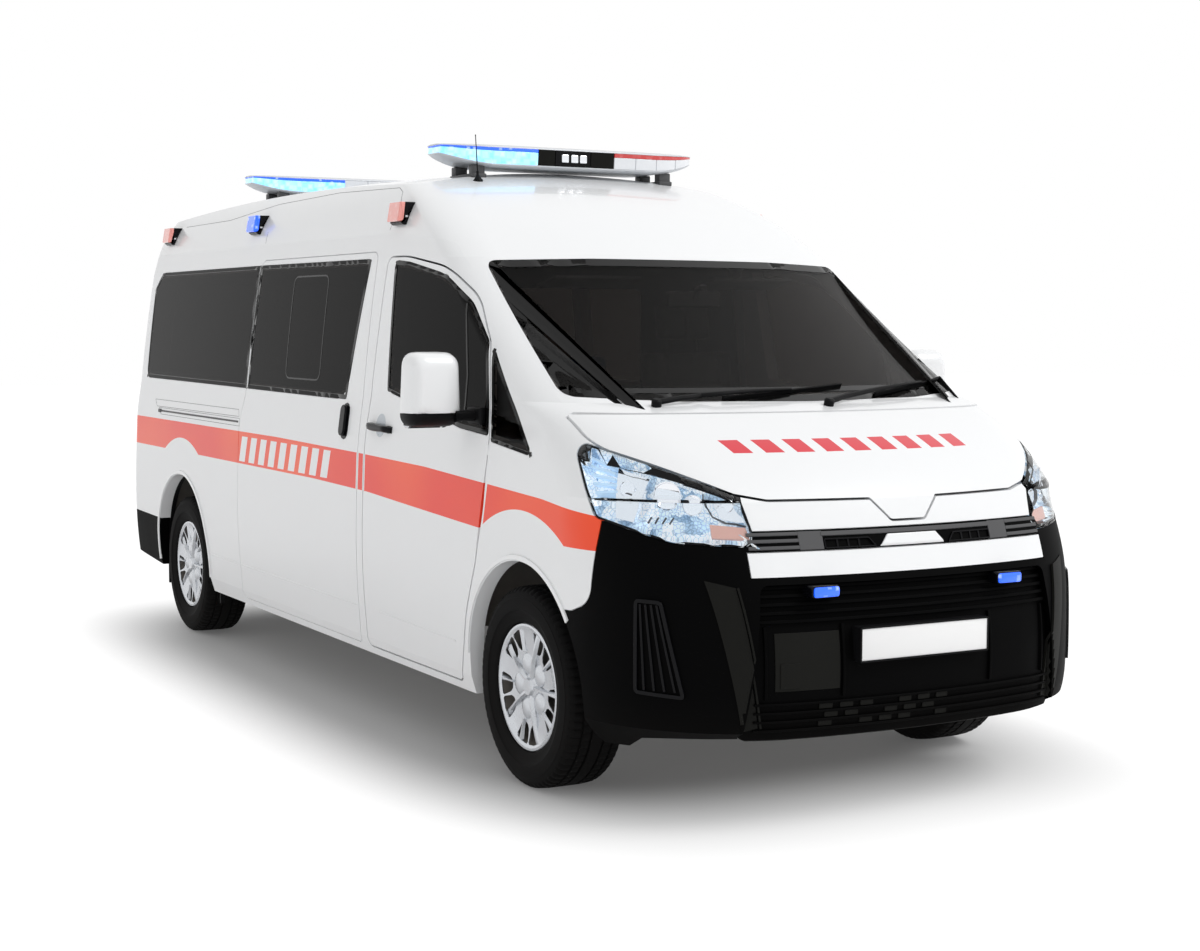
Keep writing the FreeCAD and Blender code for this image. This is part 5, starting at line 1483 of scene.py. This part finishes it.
def make_borders():
    """Black borders printed round the glass, and the rubber frames of the door windows."""
    bm = bmesh.new()
    border(bm, WINDSCREEN, 0.03, 0.046, front_at)
    patch(bm, oblong(-0.80, 1.376, 0.80, 1.392), front_at, 0.0010, 0.0015, 24, 1)
    piece("windscreen_border", bm, "van", "frit")
    bm = bmesh.new()
    border(bm, TAIL_GLASS, 0.05, 0.036, rear_at)
    piece("tailgate_glass_border", bm, "rear_tailgate", "frit")
    for name, side in SIDES:
        at = side_place(side)
        door = name + "_front_door"
        bm = bmesh.new()
        band(bm, soft_corners(DOOR_GLASS, 0.012), 0.016, at, 0.0022, 0.002)
        rail_on(bm, at, [(1.461, 1.262), (1.461, 1.425), (1.391, 1.686)], 0.013, 0.0022)
        piece("door_glass_frame_" + name, bm, door, "frit")
        bm = bmesh.new()
        band(bm, soft_corners(QUARTER, 0.008), 0.014, at, 0.0020, 0.002)
        border(bm, REAR_PANE, 0.012, 0.020, at)
        rail_on(bm, at, [(-0.9752, 1.298), (-0.9372, 1.880)], 0.0105, 0.0012, 0.001)
        if side > 0:
            border(bm, MIDDLE, 0.012, 0.020, at)
            rail_on(bm, at, [(-0.9580, 1.298), (-0.9200, 1.880)], 0.0135, 0.0012, 0.001)
        piece("side_glass_borders_" + name, bm, "van", "frit")
    bm = bmesh.new()
    border(bm, MIDDLE, 0.012, 0.020, side_place(-1))
    rail_on(bm, side_place(-1), [(-0.9590, 1.298), (-0.9210, 1.880)], 0.0135, 0.0012, 0.001)
    outline = oblong(-0.45, 1.36, -0.02, 1.82)
    border(bm, outline, 0.05, 0.007, side_place(-1))
    piece("sliding_glass_border", bm, "van", "frit")


def make_seams():
    """Fine joints of the roof sides, the slide rail, creases and wheel-arch lips."""
    for name, side in SIDES:
        at = side_place(side)
        bm = bmesh.new()
        roof_line = [(-2.372, 2.121), (-1.650, 2.126), (-1.030, 2.176), (-0.283, 2.189),
                     (0.432, 2.169), (0.501, 2.148), (0.575, 2.083), (0.553, 1.988)]
        rail_on(bm, at, roof_line, 0.0028, 0.0005, 0.001)
        rail_on(bm, at, [(-0.957, 2.040), (-0.938, 1.985)], 0.0028, 0.0005, 0.001)
        rail_on(bm, at, [(-2.419, 1.196), (-1.038, 1.196), (-1.025, 1.163), (-2.380, 1.160),
                         (-2.419, 1.196)], 0.0025, 0.0005, 0.001)
        rail_on(bm, at, [(-2.345, 1.154), (-1.014, 1.154), (-1.012, 1.118), (-2.300, 1.120),
                         (-2.345, 1.154)], 0.0025, 0.0005, 0.001)
        piece("side_seams_" + name, bm, "van", "seam", sharp=60)
        bm = bmesh.new()
        rail_on(bm, at, [(-2.300, 1.138), (-1.030, 1.138)], 0.010, 0.003)
        disc(bm, box_outline(-2.315, 1.138, 0.022, 0.009, 0.004), at, 0.006, 0.002)
        piece("slide_rail_" + name, bm, "van", "mid_grey", bevel=0.001)
        bm = bmesh.new()
        for start, end in ((-1.700, -1.010), (-0.995, 0.460)):
            rail_on(bm, at, [(start, 0.453), (end, 0.452)], 0.007, 0.0022)
        for centre_x, centre_z, radius, cut in ((REAR_AXLE - 0.010, 0.398, 0.424, 0.335),
                                                (FRONT_AXLE + 0.026, 0.375, 0.424, 0.315)):
            limit = asin(min(1.0, (cut - centre_z) / radius))
            arc = []
            last = pi - limit if centre_x < 0 else pi * 0.97
            first = limit if centre_x < 0 else radians(37)
            for step in range(41):
                angle = first + (last - first) * step / 40
                arc.append((centre_x + (radius + 0.012) * cos(angle),
                            centre_z + (radius + 0.012) * sin(angle)))
            rail_on(bm, at, arc, 0.020, 0.006)
        piece("body_lips_" + name, bm, "van", "white", bevel=0.002)
        bm = bmesh.new()
        rail_on(bm, at, [(0.700, 0.452), (1.425, 0.442)], 0.007, 0.0022)
        piece("door_crease_" + name, bm, name + "_front_door", "white")


def make_handles():
    """Pull handles of the front doors and the sliding door, and the joint round the fuel flap."""
    for name, side in SIDES:
        at = side_place(side)
        bm = bmesh.new()
        disc(bm, ellipse(0.703, 1.204, 0.047, 0.047), at, 0.0008, 0.002)
        piece("door_handle_cup_" + name, bm, name + "_front_door", "cup")
        bm = bmesh.new()
        spots, normals = run_of(at, [(0.590, 1.197), (0.822, 1.190)], 0.015)
        rings = []
        for index, (spot, normal) in enumerate(zip(spots, normals)):
            share = index / (len(spots) - 1)
            bow = sin(pi * share)
            half = 0.0135 + 0.003 * sin(pi * min(1, share * 1.4))
            out = 0.004 + 0.022 * min(1.0, bow * 2.2)
            rings.append([spot + normal * (out + depth) + Z * rise for depth, rise in (
                (0.006, 0.0), (0.003, half * 0.75), (-0.005, half), (-0.010, half * 0.4),
                (-0.010, -half * 0.4), (-0.005, -half), (0.003, -half * 0.75))])
        loft(bm, rings)
        disc(bm, ellipse(0.800, 1.191, 0.017, 0.015, 20), at, 0.010, 0.002)
        disc(bm, ellipse(0.606, 1.197, 0.015, 0.013, 20), at, 0.010, 0.002)
        piece("door_handle_" + name, bm, name + "_front_door", "gloss_black", sharp=50)
    at = side_place(-1)
    bm = bmesh.new()
    disc(bm, box_outline(0.322, 1.204, 0.040, 0.076, 0.036), at, 0.002, 0.002)
    disc(bm, box_outline(0.322, 1.206, 0.025, 0.064, 0.024), at, 0.018, 0.002)
    piece("sliding_door_handle", bm, "van", "gloss_black", bevel=0.004, segments=3)
    bm = bmesh.new()
    outline = oblong(-1.90, 0.98, -1.72, 1.16)
    band(bm, soft_corners(outline, 0.03), 0.003, side_place(1), 0.0005, 0.001)
    piece("fuel_flap_joint", bm, "van", "seam", sharp=60)


def make_antenna():
    """Whip with a ribbed foot on the roof's right front corner."""
    low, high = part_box("antenna")
    foot_x, foot_y = high[0] - 0.022, (low[1] + high[1]) / 2
    foot = on_top(foot_x, foot_y)[0]
    tip = Vector((low[0] + 0.003, foot_y, high[2] - 0.001))
    bm = bmesh.new()
    way = (tip - foot).normalized()
    rows = ((-0.008, 0.0215), (0.002, 0.0205), (0.010, 0.0140), (0.020, 0.0085), (0.023, 0.0062),
            (0.040, 0.0050), (0.042, 0.0026))
    tube(bm, [foot + way * along for along, _ in rows] + [tip - way * 0.006, tip - way * 0.004, tip],
         [radius for _, radius in rows] + [0.0018, 0.0025, 0.0022], sides=20)
    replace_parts(piece("roof_antenna", bm, "van", "trim", sharp=40), "antenna")


def make_wipers():
    """Two wipers at the windscreen's foot and one on the tailgate glass."""
    bm, rubber = bmesh.new(), bmesh.new()
    for pivot, tip, reach in (((-0.60, 1.336), (-0.05, 1.374), 0.29),
                              ((0.04, 1.332), (0.62, 1.388), 0.31)):
        pivot, tip = Vector(pivot), Vector(tip)
        spots, normals = run_of(front_at, [pivot, tip], 0.05)
        tube(bm, [spot + normal * (0.014 + 0.012 * sin(pi * i / (len(spots) - 1)))
                  for i, (spot, normal) in enumerate(zip(spots, normals))],
             [0.011 - 0.006 * i / (len(spots) - 1) for i in range(len(spots))], sides=8)
        spot, normal = on_face(pivot.x, pivot.y)
        tube(bm, [spot - normal * 0.006, spot + normal * 0.020, spot + normal * 0.026],
             [0.018, 0.018, 0.012], sides=16)
        way = (tip - pivot).normalized()
        rail_on(rubber, front_at, [tip - way * reach, tip + way * reach * 0.85], 0.010, 0.012)
    piece("wiper_arms", bm, "van", "trim")
    piece("wiper_blades", rubber, "van", "tyre")
    bm = bmesh.new()
    spots, normals = run_of(rear_at, [(0.0, 1.250), (0.42, 1.345)], 0.05)
    tube(bm, [spot + normal * 0.016 for spot, normal in zip(spots, normals)], 0.006, sides=8)
    spot, normal = on_face(0.0, 1.250, 0.0, REAR_SKIN, -1)
    tube(bm, [spot - normal * 0.004, spot + normal * 0.022], [0.022, 0.016], sides=16)
    rail_on(bm, rear_at, [(0.10, 1.340), (0.50, 1.368)], 0.010, 0.012)
    piece("rear_wiper", bm, "rear_tailgate", "trim")


def make_rear():
    """Plate, handle, lamps and lines of the rear end."""
    bm = bmesh.new()
    patch(bm, oblong(-0.300, 0.985, 0.300, 1.135), rear_at, 0.003, 0.003, 8, 3)
    piece("rear_plate_recess", bm, "rear_tailgate", "trim", bevel=0.003)
    bm = bmesh.new()
    patch(bm, oblong(-0.258, 1.000, 0.258, 1.108), rear_at, 0.0055, 0.0, 8, 3)
    piece("rear_plate", bm, "rear_tailgate", "plate")
    bm = bmesh.new()
    rail_on(bm, rear_at, [(-0.31, 1.158), (0.31, 1.158)], 0.040, 0.016)
    piece("tailgate_handle", bm, "rear_tailgate", "white", bevel=0.006, segments=3)
    bm = bmesh.new()
    patch(bm, [(-0.150, 1.905), (0.150, 1.905), (0.145, 1.928), (-0.145, 1.928)], rear_at,
          0.010, 0.002, 8, 2)
    piece("high_brake_lamp", bm, "rear_tailgate", "red_lens", bevel=0.003)
    for name, side in SIDES:
        bm = bmesh.new()
        for low_z, high_z, inset_y in ((0.875, 0.925, 0.0), (0.935, 0.985, 0.002)):
            patch(bm, [(side * 0.838, low_z), (side * (0.935 - inset_y), low_z),
                       (side * (0.935 - inset_y), high_z), (side * 0.836, high_z)], rear_at,
                  0.0022, 0.002, 4, 2)
        piece("tail_lamp_clear_" + name, bm, "van", "clear_ribbed", bevel=0.002)
        bm = bmesh.new()
        patch(bm, [(side * 0.836, 1.195), (side * 0.930, 1.195), (side * 0.928, 1.245),
                   (side * 0.826, 1.245)], rear_at, 0.0022, 0.002, 4, 2)
        piece("tail_lamp_amber_" + name, bm, "van", "amber", bevel=0.002)
        bm = bmesh.new()
        disc(bm, box_outline(side * 0.64, 0.470, 0.060, 0.022, 0.010), rear_at, 0.004, 0.002)
        # the reflector takes the red lamp finish, so it glows a little though it is no lamp: painted
        # light
        piece("rear_reflector_" + name, bm, "van", "red_lens", bevel=0.002)
    bm = bmesh.new()
    for y in [-0.5 + 0.1 * i for i in range(11)]:
        rail_on(bm, rear_at, [(y, 0.540), (y, 0.566)], 0.03, 0.0015)
    piece("rear_step_ribs", bm, "van", "trim", bevel=0.001)


make_borders()
make_seams()
make_handles()
make_antenna()
make_wipers()
make_rear()


# ------------------------------------------------------------------ padded pieces
FLOOR_TOP = 0.600
VOXEL, QUICK_VOXEL = 0.0065, 0.012
SEAM_HALF, SEAM_DEPTH, RIPPLE = 0.0075, 0.007, 0.0008    # of the sewn channels and the cover
PADS = {  # length, width, thickness, cap on the swelling, seams as (axis, place)
    "seat_squab": (0.470, 0.460, 0.115, 0.014, ((1, -0.135), (1, 0.135), (0, -0.08))),
    "seat_back": (0.110, 0.460, 0.570, 0.014, ((1, -0.135), (1, 0.135), (2, 0.12), (2, -0.13))),
    "head_rest": (0.080, 0.260, 0.155, 0.009, ((1, 0.0),)),
    "chair_squab": (0.345, 0.420, 0.095, 0.012, ((1, -0.11), (1, 0.11))),
    "chair_back": (0.090, 0.420, 0.500, 0.012, ((1, -0.11), (1, 0.11), (2, 0.0))),
    "bench_squab": (0.475, 0.395, 0.066, 0.010, ((0, 0.0),)),
    "bench_back": (0.475, 0.045, 0.235, 0.008, ((0, 0.0),)),
    "mattress": (0.610, 0.470, 0.072, 0.010, ((0, -0.15), (0, 0.15))),
}


def pad_start(length, width, height, shrink):
    """A rounded box that a pad swells from."""
    bm = bmesh.new()
    half = Vector((length, width, height)) / 2 - Vector((shrink, shrink, shrink))
    block(bm, -half, half, min(half) * 0.62, 4)
    return bm


def swollen(name, length, width, height, cap):
    """A pad blown up a little by cloth simulation, as a mesh centred on the origin."""
    bm = pad_start(length, width, height, cap * 0.55)
    item = linked(name, bm)
    grid = item.modifiers.new("grid", "REMESH")
    grid.mode, grid.voxel_size = "VOXEL", VOXEL
    applied(item)
    rest = [vert.co.copy() for vert in item.data.vertices]
    cover = item.modifiers.new("cover", "CLOTH")
    cover.settings.quality = 4
    cover.settings.mass = 0.25
    cover.settings.tension_stiffness = cover.settings.compression_stiffness = 12.0
    cover.settings.use_pressure = True
    cover.settings.uniform_pressure_force = 4.0
    cover.settings.effector_weights.gravity = 0.0
    for number in range(1, 21):
        scene.frame_set(number)
    applied(item)
    for vert, start in zip(item.data.vertices, rest):
        step = vert.co - start
        if step.length > cap:
            vert.co = start + step * (cap / step.length)
    scene.frame_set(1)
    return item


def sew(mesh, seams):
    """Sinks sewn channels into a pad and ripples its cover a little."""
    normals = [vert.normal.copy() for vert in mesh.vertices]
    for vert, normal in zip(mesh.vertices, normals):
        sunk = 0.0
        for axis, place in seams:
            sunk = max(sunk, exp(-((vert.co[axis] - place) / SEAM_HALF) ** 2))
        vert.co -= normal * SEAM_DEPTH * sunk
        ripple = sin(vert.co.x * 61.0 + 1.3) * sin(vert.co.y * 53.0 + 0.7)
        vert.co += normal * RIPPLE * ripple


SEWN = {}
for kind, (length, width, height, cap, seams) in PADS.items():
    pad = swollen("pad_" + kind, length, width, height, cap)
    sew(pad.data, seams)
    SEWN[kind] = pad.data
    bpy.data.objects.remove(pad)


def cushion(name, kind, centre, material, lean=0.0, replaced=None):
    """One padded piece in its place, leaned about the Y axis."""
    bm = bmesh.new()
    bm.from_mesh(SEWN[kind])
    turn = Matrix.Translation(centre) @ Matrix.Rotation(radians(lean), 4, "Y")
    bmesh.ops.transform(bm, matrix=turn, verts=bm.verts)
    item = piece(name, bm, "van", material, sharp=80, fix_normals=False)
    if replaced:
        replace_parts(item, replaced)


def seat_block(bm, start, end, y, half, low, high, bevel, segments=3):
    """A block of a seat's frame; start and end are measured back from the front axle."""
    block(bm, (FRONT_AXLE - start, y - half, low), (FRONT_AXLE - end, y + half, high), bevel,
          segments)


def make_seats():
    """Two seats in the cab and one for the attendant."""
    for name, side in SIDES:
        y = side * 0.400
        cushion("seat_squab_" + name, "seat_squab", (FRONT_AXLE - 0.835, y, 0.897), "cloth",
                -4.0, "front_seats" if side < 0 else None)
        cushion("seat_back_" + name, "seat_back", (FRONT_AXLE - 1.082, y, 1.225), "cloth", -9.3)
        cushion("seat_head_rest_" + name, "head_rest", (FRONT_AXLE - 1.148, y, 1.615), "cloth", -9.3)
        bm = bmesh.new()
        seat_block(bm, 1.050, 0.705, y, 0.215, FLOOR_TOP + 0.002, 0.815, 0.015)
        seat_block(bm, 1.075, 0.620, y, 0.232, 0.812, 0.850, 0.012)
        for post in (-0.065, 0.065):
            tube(bm, [(FRONT_AXLE - 1.118, y + post, 1.45), (FRONT_AXLE - 1.146, y + post, 1.60)],
                 0.006, 10)
        for edge in (-0.232, 0.232):
            seat_block(bm, 1.075, 0.985, y + edge, 0.016, 0.850, 0.985, 0.012)
        seat_block(bm, 0.975, 0.930, y - side * 0.243, 0.012, 0.93, 1.02, 0.006, 2)
        piece("seat_frame_" + name, bm, "van", "cab_grey")
    cushion("chair_squab", "chair_squab", (FRONT_AXLE - 1.862, 0.060, 0.930), "vinyl",
            3.0, replaced="attendant_seat")
    cushion("chair_back", "chair_back", (FRONT_AXLE - 1.602, 0.060, 1.235), "vinyl", 9.0)
    bm = bmesh.new()
    seat_block(bm, 1.945, 1.700, 0.060, 0.180, FLOOR_TOP + 0.002, 0.865, 0.015)
    seat_block(bm, 2.025, 1.680, 0.060, 0.205, 0.862, 0.890, 0.010)
    seat_block(bm, 1.660, 1.590, 0.060, 0.195, 0.880, 0.985, 0.012)
    piece("chair_frame", bm, "van", "cab_grey")


BENCH_X, BENCH_L, WALL = TAIL + 0.330, 1.480, 0.875


def make_bench():
    """Box bench along the right wall with three seat pads and three back pads."""
    pitch = BENCH_L / 3
    for step in range(3):
        x = BENCH_X + pitch * (step + 0.5)
        cushion("bench_squab_%d" % step, "bench_squab", (x, -WALL + 0.207, 0.977), "vinyl",
                replaced="side_bench" if step == 0 else None)
        cushion("bench_back_%d" % step, "bench_back", (x, -WALL + 0.026, 1.140), "vinyl")
    bm = bmesh.new()
    block(bm, (BENCH_X + 0.001, -WALL + 0.002, 0.862), (BENCH_X + BENCH_L - 0.001, -0.456, 0.940),
          0.006, 2)
    block(bm, (BENCH_X + 0.001, -0.474, FLOOR_TOP + 0.002),
          (BENCH_X + BENCH_L - 0.001, -0.4565, 0.864), 0.003, 2)
    for step in range(3):
        x = BENCH_X + pitch * step
        block(bm, (x + 0.02, -0.458, 0.640), (x + pitch - 0.02, -0.4555, 0.845), 0.001, 1)
    piece("bench_box", bm, "van", "cabinet")
    bm = bmesh.new()
    for step in range(3):
        x = BENCH_X + pitch * (step + 0.5)
        block(bm, (x - 0.05, -0.4575, 0.800), (x + 0.05, -0.4515, 0.815), 0.002, 2)
    piece("bench_pulls", bm, "van", "aluminium")


STRETCHER_X, STRETCHER_Y, STRETCHER_L = TAIL + 0.380, 0.190, 1.900


def make_stretcher():
    """Trolley with tube frame, castors, a mattress in three parts and straps."""
    def bar(bm, start, end, radius, sides):
        """A tube between two (along, across, height) places, from the stretcher's foot end."""
        tube(bm, [Vector((STRETCHER_X, STRETCHER_Y, FLOOR_TOP)) + Vector(place)
                  for place in (start, end)], radius, sides)

    bm = bmesh.new()
    legs = (0.160, STRETCHER_L - 0.160)
    for y in (-0.255, 0.255):
        bar(bm, (0, y, 0.330), (STRETCHER_L, y, 0.330), 0.0165, 20)
        for end in legs:
            bar(bm, (end, y, 0.085), (end, y, 0.330), 0.0145, 16)
    for end in legs:
        bar(bm, (end, -0.255, 0.125), (end, 0.255, 0.125), 0.0135, 16)
    for end in (0.012, 0.66, 1.28, STRETCHER_L - 0.012):
        bar(bm, (end, -0.255, 0.330), (end, 0.255, 0.330), 0.011, 12)
    for y in (-0.2445, 0.2445):
        for end in (0.17, STRETCHER_L - 0.17):
            bar(bm, (end, y, 0.15), (STRETCHER_L / 2, y, 0.318), 0.009, 10)
    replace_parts(piece("stretcher_frame", bm, "van", "aluminium", sharp=40), "stretcher")
    bm, hubs = bmesh.new(), bmesh.new()
    for y in (-0.255, 0.255):
        for end in legs:
            centre = Vector((STRETCHER_X + end, STRETCHER_Y + y, FLOOR_TOP + 0.060))
            made = spun(bm, [(0.030, -0.013), (0.050, -0.0135), (0.0585, -0.009), (0.0600, 0.0),
                             (0.0585, 0.009), (0.050, 0.0135), (0.030, 0.013)], 36, closed=True)
            bmesh.ops.translate(bm, vec=centre, verts=made)
            made = spun(hubs, [(0.0, -0.014), (0.014, -0.014), (0.015, -0.008), (0.0305, -0.007),
                               (0.0305, 0.007), (0.015, 0.008), (0.014, 0.014), (0.0, 0.014)], 36)
            bmesh.ops.translate(hubs, vec=centre, verts=made)
            for edge in (-0.0155, 0.0155):
                block(hubs, (centre.x - 0.016, centre.y + edge - 0.0015, centre.z - 0.014),
                      (centre.x + 0.016, centre.y + edge + 0.0015, centre.z + 0.045), 0.0)
    piece("castor_tyres", bm, "van", "tyre")
    piece("castor_hubs", hubs, "van", "mid_grey")
    for step in range(3):
        x = STRETCHER_X + 0.020 + 0.62 * (step + 0.5)
        cushion("mattress_%d" % step, "mattress", (x, STRETCHER_Y, 0.9775), "vinyl")
    bm = bmesh.new()
    for end in (0.45, 0.98, 1.45):
        x = STRETCHER_X + end
        path = [Vector((x, STRETCHER_Y + y, h)) for y, h in (
            (-0.262, 0.955), (-0.256, 0.990), (-0.236, 1.0085), (-0.12, 1.0145), (0.0, 1.015),
            (0.12, 1.0145), (0.236, 1.0085), (0.256, 0.990), (0.262, 0.955))]
        outward = [(point - Vector((x, STRETCHER_Y, 0.90))).normalized() for point in path]
        strip(bm, path, outward, 0.045, 0.0015, 0.0008)
    piece("stretcher_straps", bm, "van", "strap")


def make_cabinets():
    """Doors, pulls and an edge on the long cabinet, and gear on the left wall."""
    bm, pulls = bmesh.new(), bmesh.new()
    face_y = WALL - 0.350
    start, end = REAR_AXLE - 0.390, REAR_AXLE + 2.310
    doors = 6
    pitch = (end - start) / doors
    for step in range(doors):
        x = start + pitch * step
        low = 0.885 if step in (0, 1) else 0.640
        block(bm, (x + 0.008, face_y - 0.004, low), (x + pitch - 0.008, face_y + 0.001, 1.205),
              0.0015, 2)
        block(pulls, (x + pitch - 0.060, face_y - 0.016, 1.04),
              (x + pitch - 0.045, face_y - 0.003, 1.14), 0.003, 2)
    block(bm, (start, face_y - 0.003, 1.236), (end, WALL - 0.002, 1.252), 0.004, 2)
    piece("cabinet_doors", bm, "van", "cabinet")
    piece("cabinet_pulls", pulls, "van", "aluminium")
    bm = bmesh.new()
    for x in (start + 0.35, start + 0.75):
        block(bm, (x, WALL - 0.30, 1.253), (x + 0.28, WALL - 0.04, 1.44), 0.018, 3)
    block(bm, (start + 1.30, WALL - 0.26, 1.253), (start + 1.72, WALL - 0.06, 1.40), 0.022, 3)
    piece("gear_cases", bm, "van", "strap")
    bm = bmesh.new()
    for x in (start + 0.35, start + 0.75):
        tube(bm, [(x + 0.08, WALL - 0.17, 1.436), (x + 0.09, WALL - 0.17, 1.462),
                  (x + 0.19, WALL - 0.17, 1.462), (x + 0.20, WALL - 0.17, 1.436)], 0.008, 10)
    piece("gear_handles", bm, "van", "cab")
    bm = bmesh.new()
    for y in (-0.28, 0.28):
        block(bm, (-2.35, y - 0.05, 2.185), (0.15, y + 0.05, 2.200), 0.006, 2)
    piece("ceiling_lamps", bm, "van", "clear_ribbed")
    bm = bmesh.new()
    for y in (-0.06, 0.10):
        tube(bm, [(-2.3, y, 2.120), (0.1, y, 2.120)], 0.014, 14)
        for x in (-2.2, -1.1, 0.0):
            tube(bm, [(x, y, 2.120), (x, y, 2.215)], 0.010, 10)
    piece("ceiling_rails", bm, "van", "rail_yellow")
    bm = bmesh.new()
    block(bm, (TAIL + 0.130, -0.455, FLOOR_TOP), (FRONT_AXLE - 1.45, face_y, FLOOR_TOP + 0.0015), 0.0)
    piece("floor_covering", bm, "van", "lino")


# ------------------------------------------------------------------ cab
def make_cab():
    """Instrument hood, blank screen, vents, mirror, visors and the wheel's hub cover."""
    bm = bmesh.new()
    dash_x = FRONT_AXLE - 0.44
    block(bm, (dash_x - 0.075, 0.235, 1.165), (dash_x + 0.150, 0.565, 1.255), 0.035, 4)
    block(bm, (dash_x - 0.080, -0.130, 0.930), (dash_x - 0.030, 0.150, 1.160), 0.020, 3)
    block(bm, (dash_x - 0.078, -0.640, 0.985), (dash_x - 0.060, -0.210, 1.115), 0.012, 3)
    piece("dash_mouldings", bm, "van", "cab", sharp=45)
    bm = bmesh.new()
    block(bm, (dash_x - 0.084, -0.100, 1.020), (dash_x - 0.079, 0.120, 1.148), 0.004, 3)
    block(bm, (dash_x - 0.079, 0.262, 1.178), (dash_x - 0.073, 0.538, 1.238), 0.003, 2)
    piece("dash_screens", bm, "van", "gloss_black")
    bm = bmesh.new()
    for y in (-0.690, -0.165, 0.185, 0.690):
        for row in range(4):
            block(bm, (dash_x - 0.073, y - 0.035, 1.092 + row * 0.014),
                  (dash_x - 0.062, y + 0.035, 1.099 + row * 0.014), 0.002, 1)
    for step in range(3):
        y = -0.055 + step * 0.065
        made = bmesh.ops.create_cone(bm, cap_ends=True, segments=24, radius1=0.019,
                                     radius2=0.017, depth=0.016)["verts"]
        bmesh.ops.rotate(bm, verts=made, matrix=Matrix.Rotation(radians(90), 3, "Y"))
        bmesh.ops.translate(bm, vec=(dash_x - 0.087, y, 0.965), verts=made)
    piece("dash_vents", bm, "van", "mid_grey", bevel=0.001)
    glass_spot, glass_way = on_face(0.0, 1.760)
    bm = bmesh.new()
    stalk = glass_spot - glass_way * 0.013
    mirror_at = stalk + Vector((-0.075, 0.0, -0.045))
    tube(bm, [stalk, stalk + Vector((-0.040, 0, -0.008)), mirror_at + Vector((0.012, 0, 0))],
         [0.016, 0.010, 0.009], 12)
    block(bm, mirror_at + Vector((-0.012, -0.120, -0.032)),
          mirror_at + Vector((0.014, 0.120, 0.032)), 0.012, 4)
    piece("cab_mirror", bm, "van", "cab")
    bm = bmesh.new()
    block(bm, mirror_at + Vector((-0.0135, -0.110, -0.025)),
          mirror_at + Vector((-0.0115, 0.110, 0.025)), 0.0)
    piece("cab_mirror_glass", bm, "van", "mirror")
    bm = bmesh.new()
    for side in (-1, 1):
        spot, way = on_face(side * 0.36, 1.835)
        foot = spot - way * 0.080
        block(bm, foot + Vector((-0.165, -0.19, -0.006)), foot + Vector((-0.005, 0.19, 0.008)),
              0.005, 3, turn=Matrix.Rotation(radians(-12), 4, "Y"))
    piece("sun_visors", bm, "van", "cab_grey")
    joint = JOINTS["steering_column"]
    way = Vector(joint["axis"]).normalized()
    spot = Vector(joint["pos_m"])
    bm = bmesh.new()
    turn = Matrix.Translation(spot - way * 0.047) @ (-way).to_track_quat("Z", "Y").to_matrix().to_4x4()
    rings = []
    for up, across in ((0.0, 0.066), (0.010, 0.068), (0.020, 0.060), (0.025, 0.040)):
        rings.append([turn @ Vector((u, v, up)) for u, v in rounded(across, across * 0.8,
                                                                   across * 0.45, 5)])
    loft(bm, rings)
    piece("wheel_hub_cover", bm, "steering", "cab", sharp=50)


def make_door_cards():
    """Trim, armrest, pocket and pull inside each front door."""
    for name, side in SIDES:
        tree = shell_tree("front_door_" + name)

        def inner(x, z, lift=0.0):
            return cast(tree, Vector((x, 0.0, z)), Vector((0, side, 0)), lift)[0]

        bm = bmesh.new()
        x0 = FRONT_AXLE
        patch(bm, [(x0 - 1.33, 0.40), (x0 - 0.47, 0.40), (x0 - 0.35, 1.16), (x0 - 1.31, 1.26)],
              inner, 0.005, 0.003, 16, 12)
        piece("door_card_" + name, bm, name + "_front_door", "cab_grey", bevel=0.002)
        bm = bmesh.new()
        rail_on(bm, inner, [(x0 - 1.24, 0.98), (x0 - 0.62, 0.94)], 0.060, 0.036, 0.0)
        rail_on(bm, inner, [(x0 - 1.22, 0.52), (x0 - 0.60, 0.52)], 0.130, 0.022, 0.0)
        rail_on(bm, inner, [(x0 - 0.60, 1.075), (x0 - 0.50, 1.070)], 0.030, 0.020, 0.0)
        piece("door_fittings_" + name, bm, name + "_front_door", "cab", bevel=0.008, segments=3)


ARCH_MIDDLE, ARCH_FOOT = 0.398, 0.200      # heights of the rear arch's middle and of its ends
SEAL = ((0.4305, 0.893), (0.4305, 0.9140), (0.4465, 0.9140), (0.4465, 0.893))    # radius, reach


def make_arch_seals():
    """A strip that closes the slot between each rear wheel box and the body side."""
    turns = [radians(angle) for angle in range(0, 181, 6)]
    for name, side in SIDES:
        bm = bmesh.new()
        rings = [[(REAR_AXLE + cos(turn) * radius, side * reach,
                   ARCH_MIDDLE + sin(turn) * radius) for radius, reach in SEAL]
                 for turn in turns]
        ends = [[(REAR_AXLE + way * radius, side * reach, ARCH_FOOT) for radius, reach in SEAL]
                for way in (1, -1)]
        loft(bm, [ends[0], *rings, ends[1]])
        piece("arch_seal_" + name, bm, "van", "trim")


make_seats()
make_bench()
make_stretcher()
make_cabinets()
make_cab()
make_door_cards()
make_arch_seals()
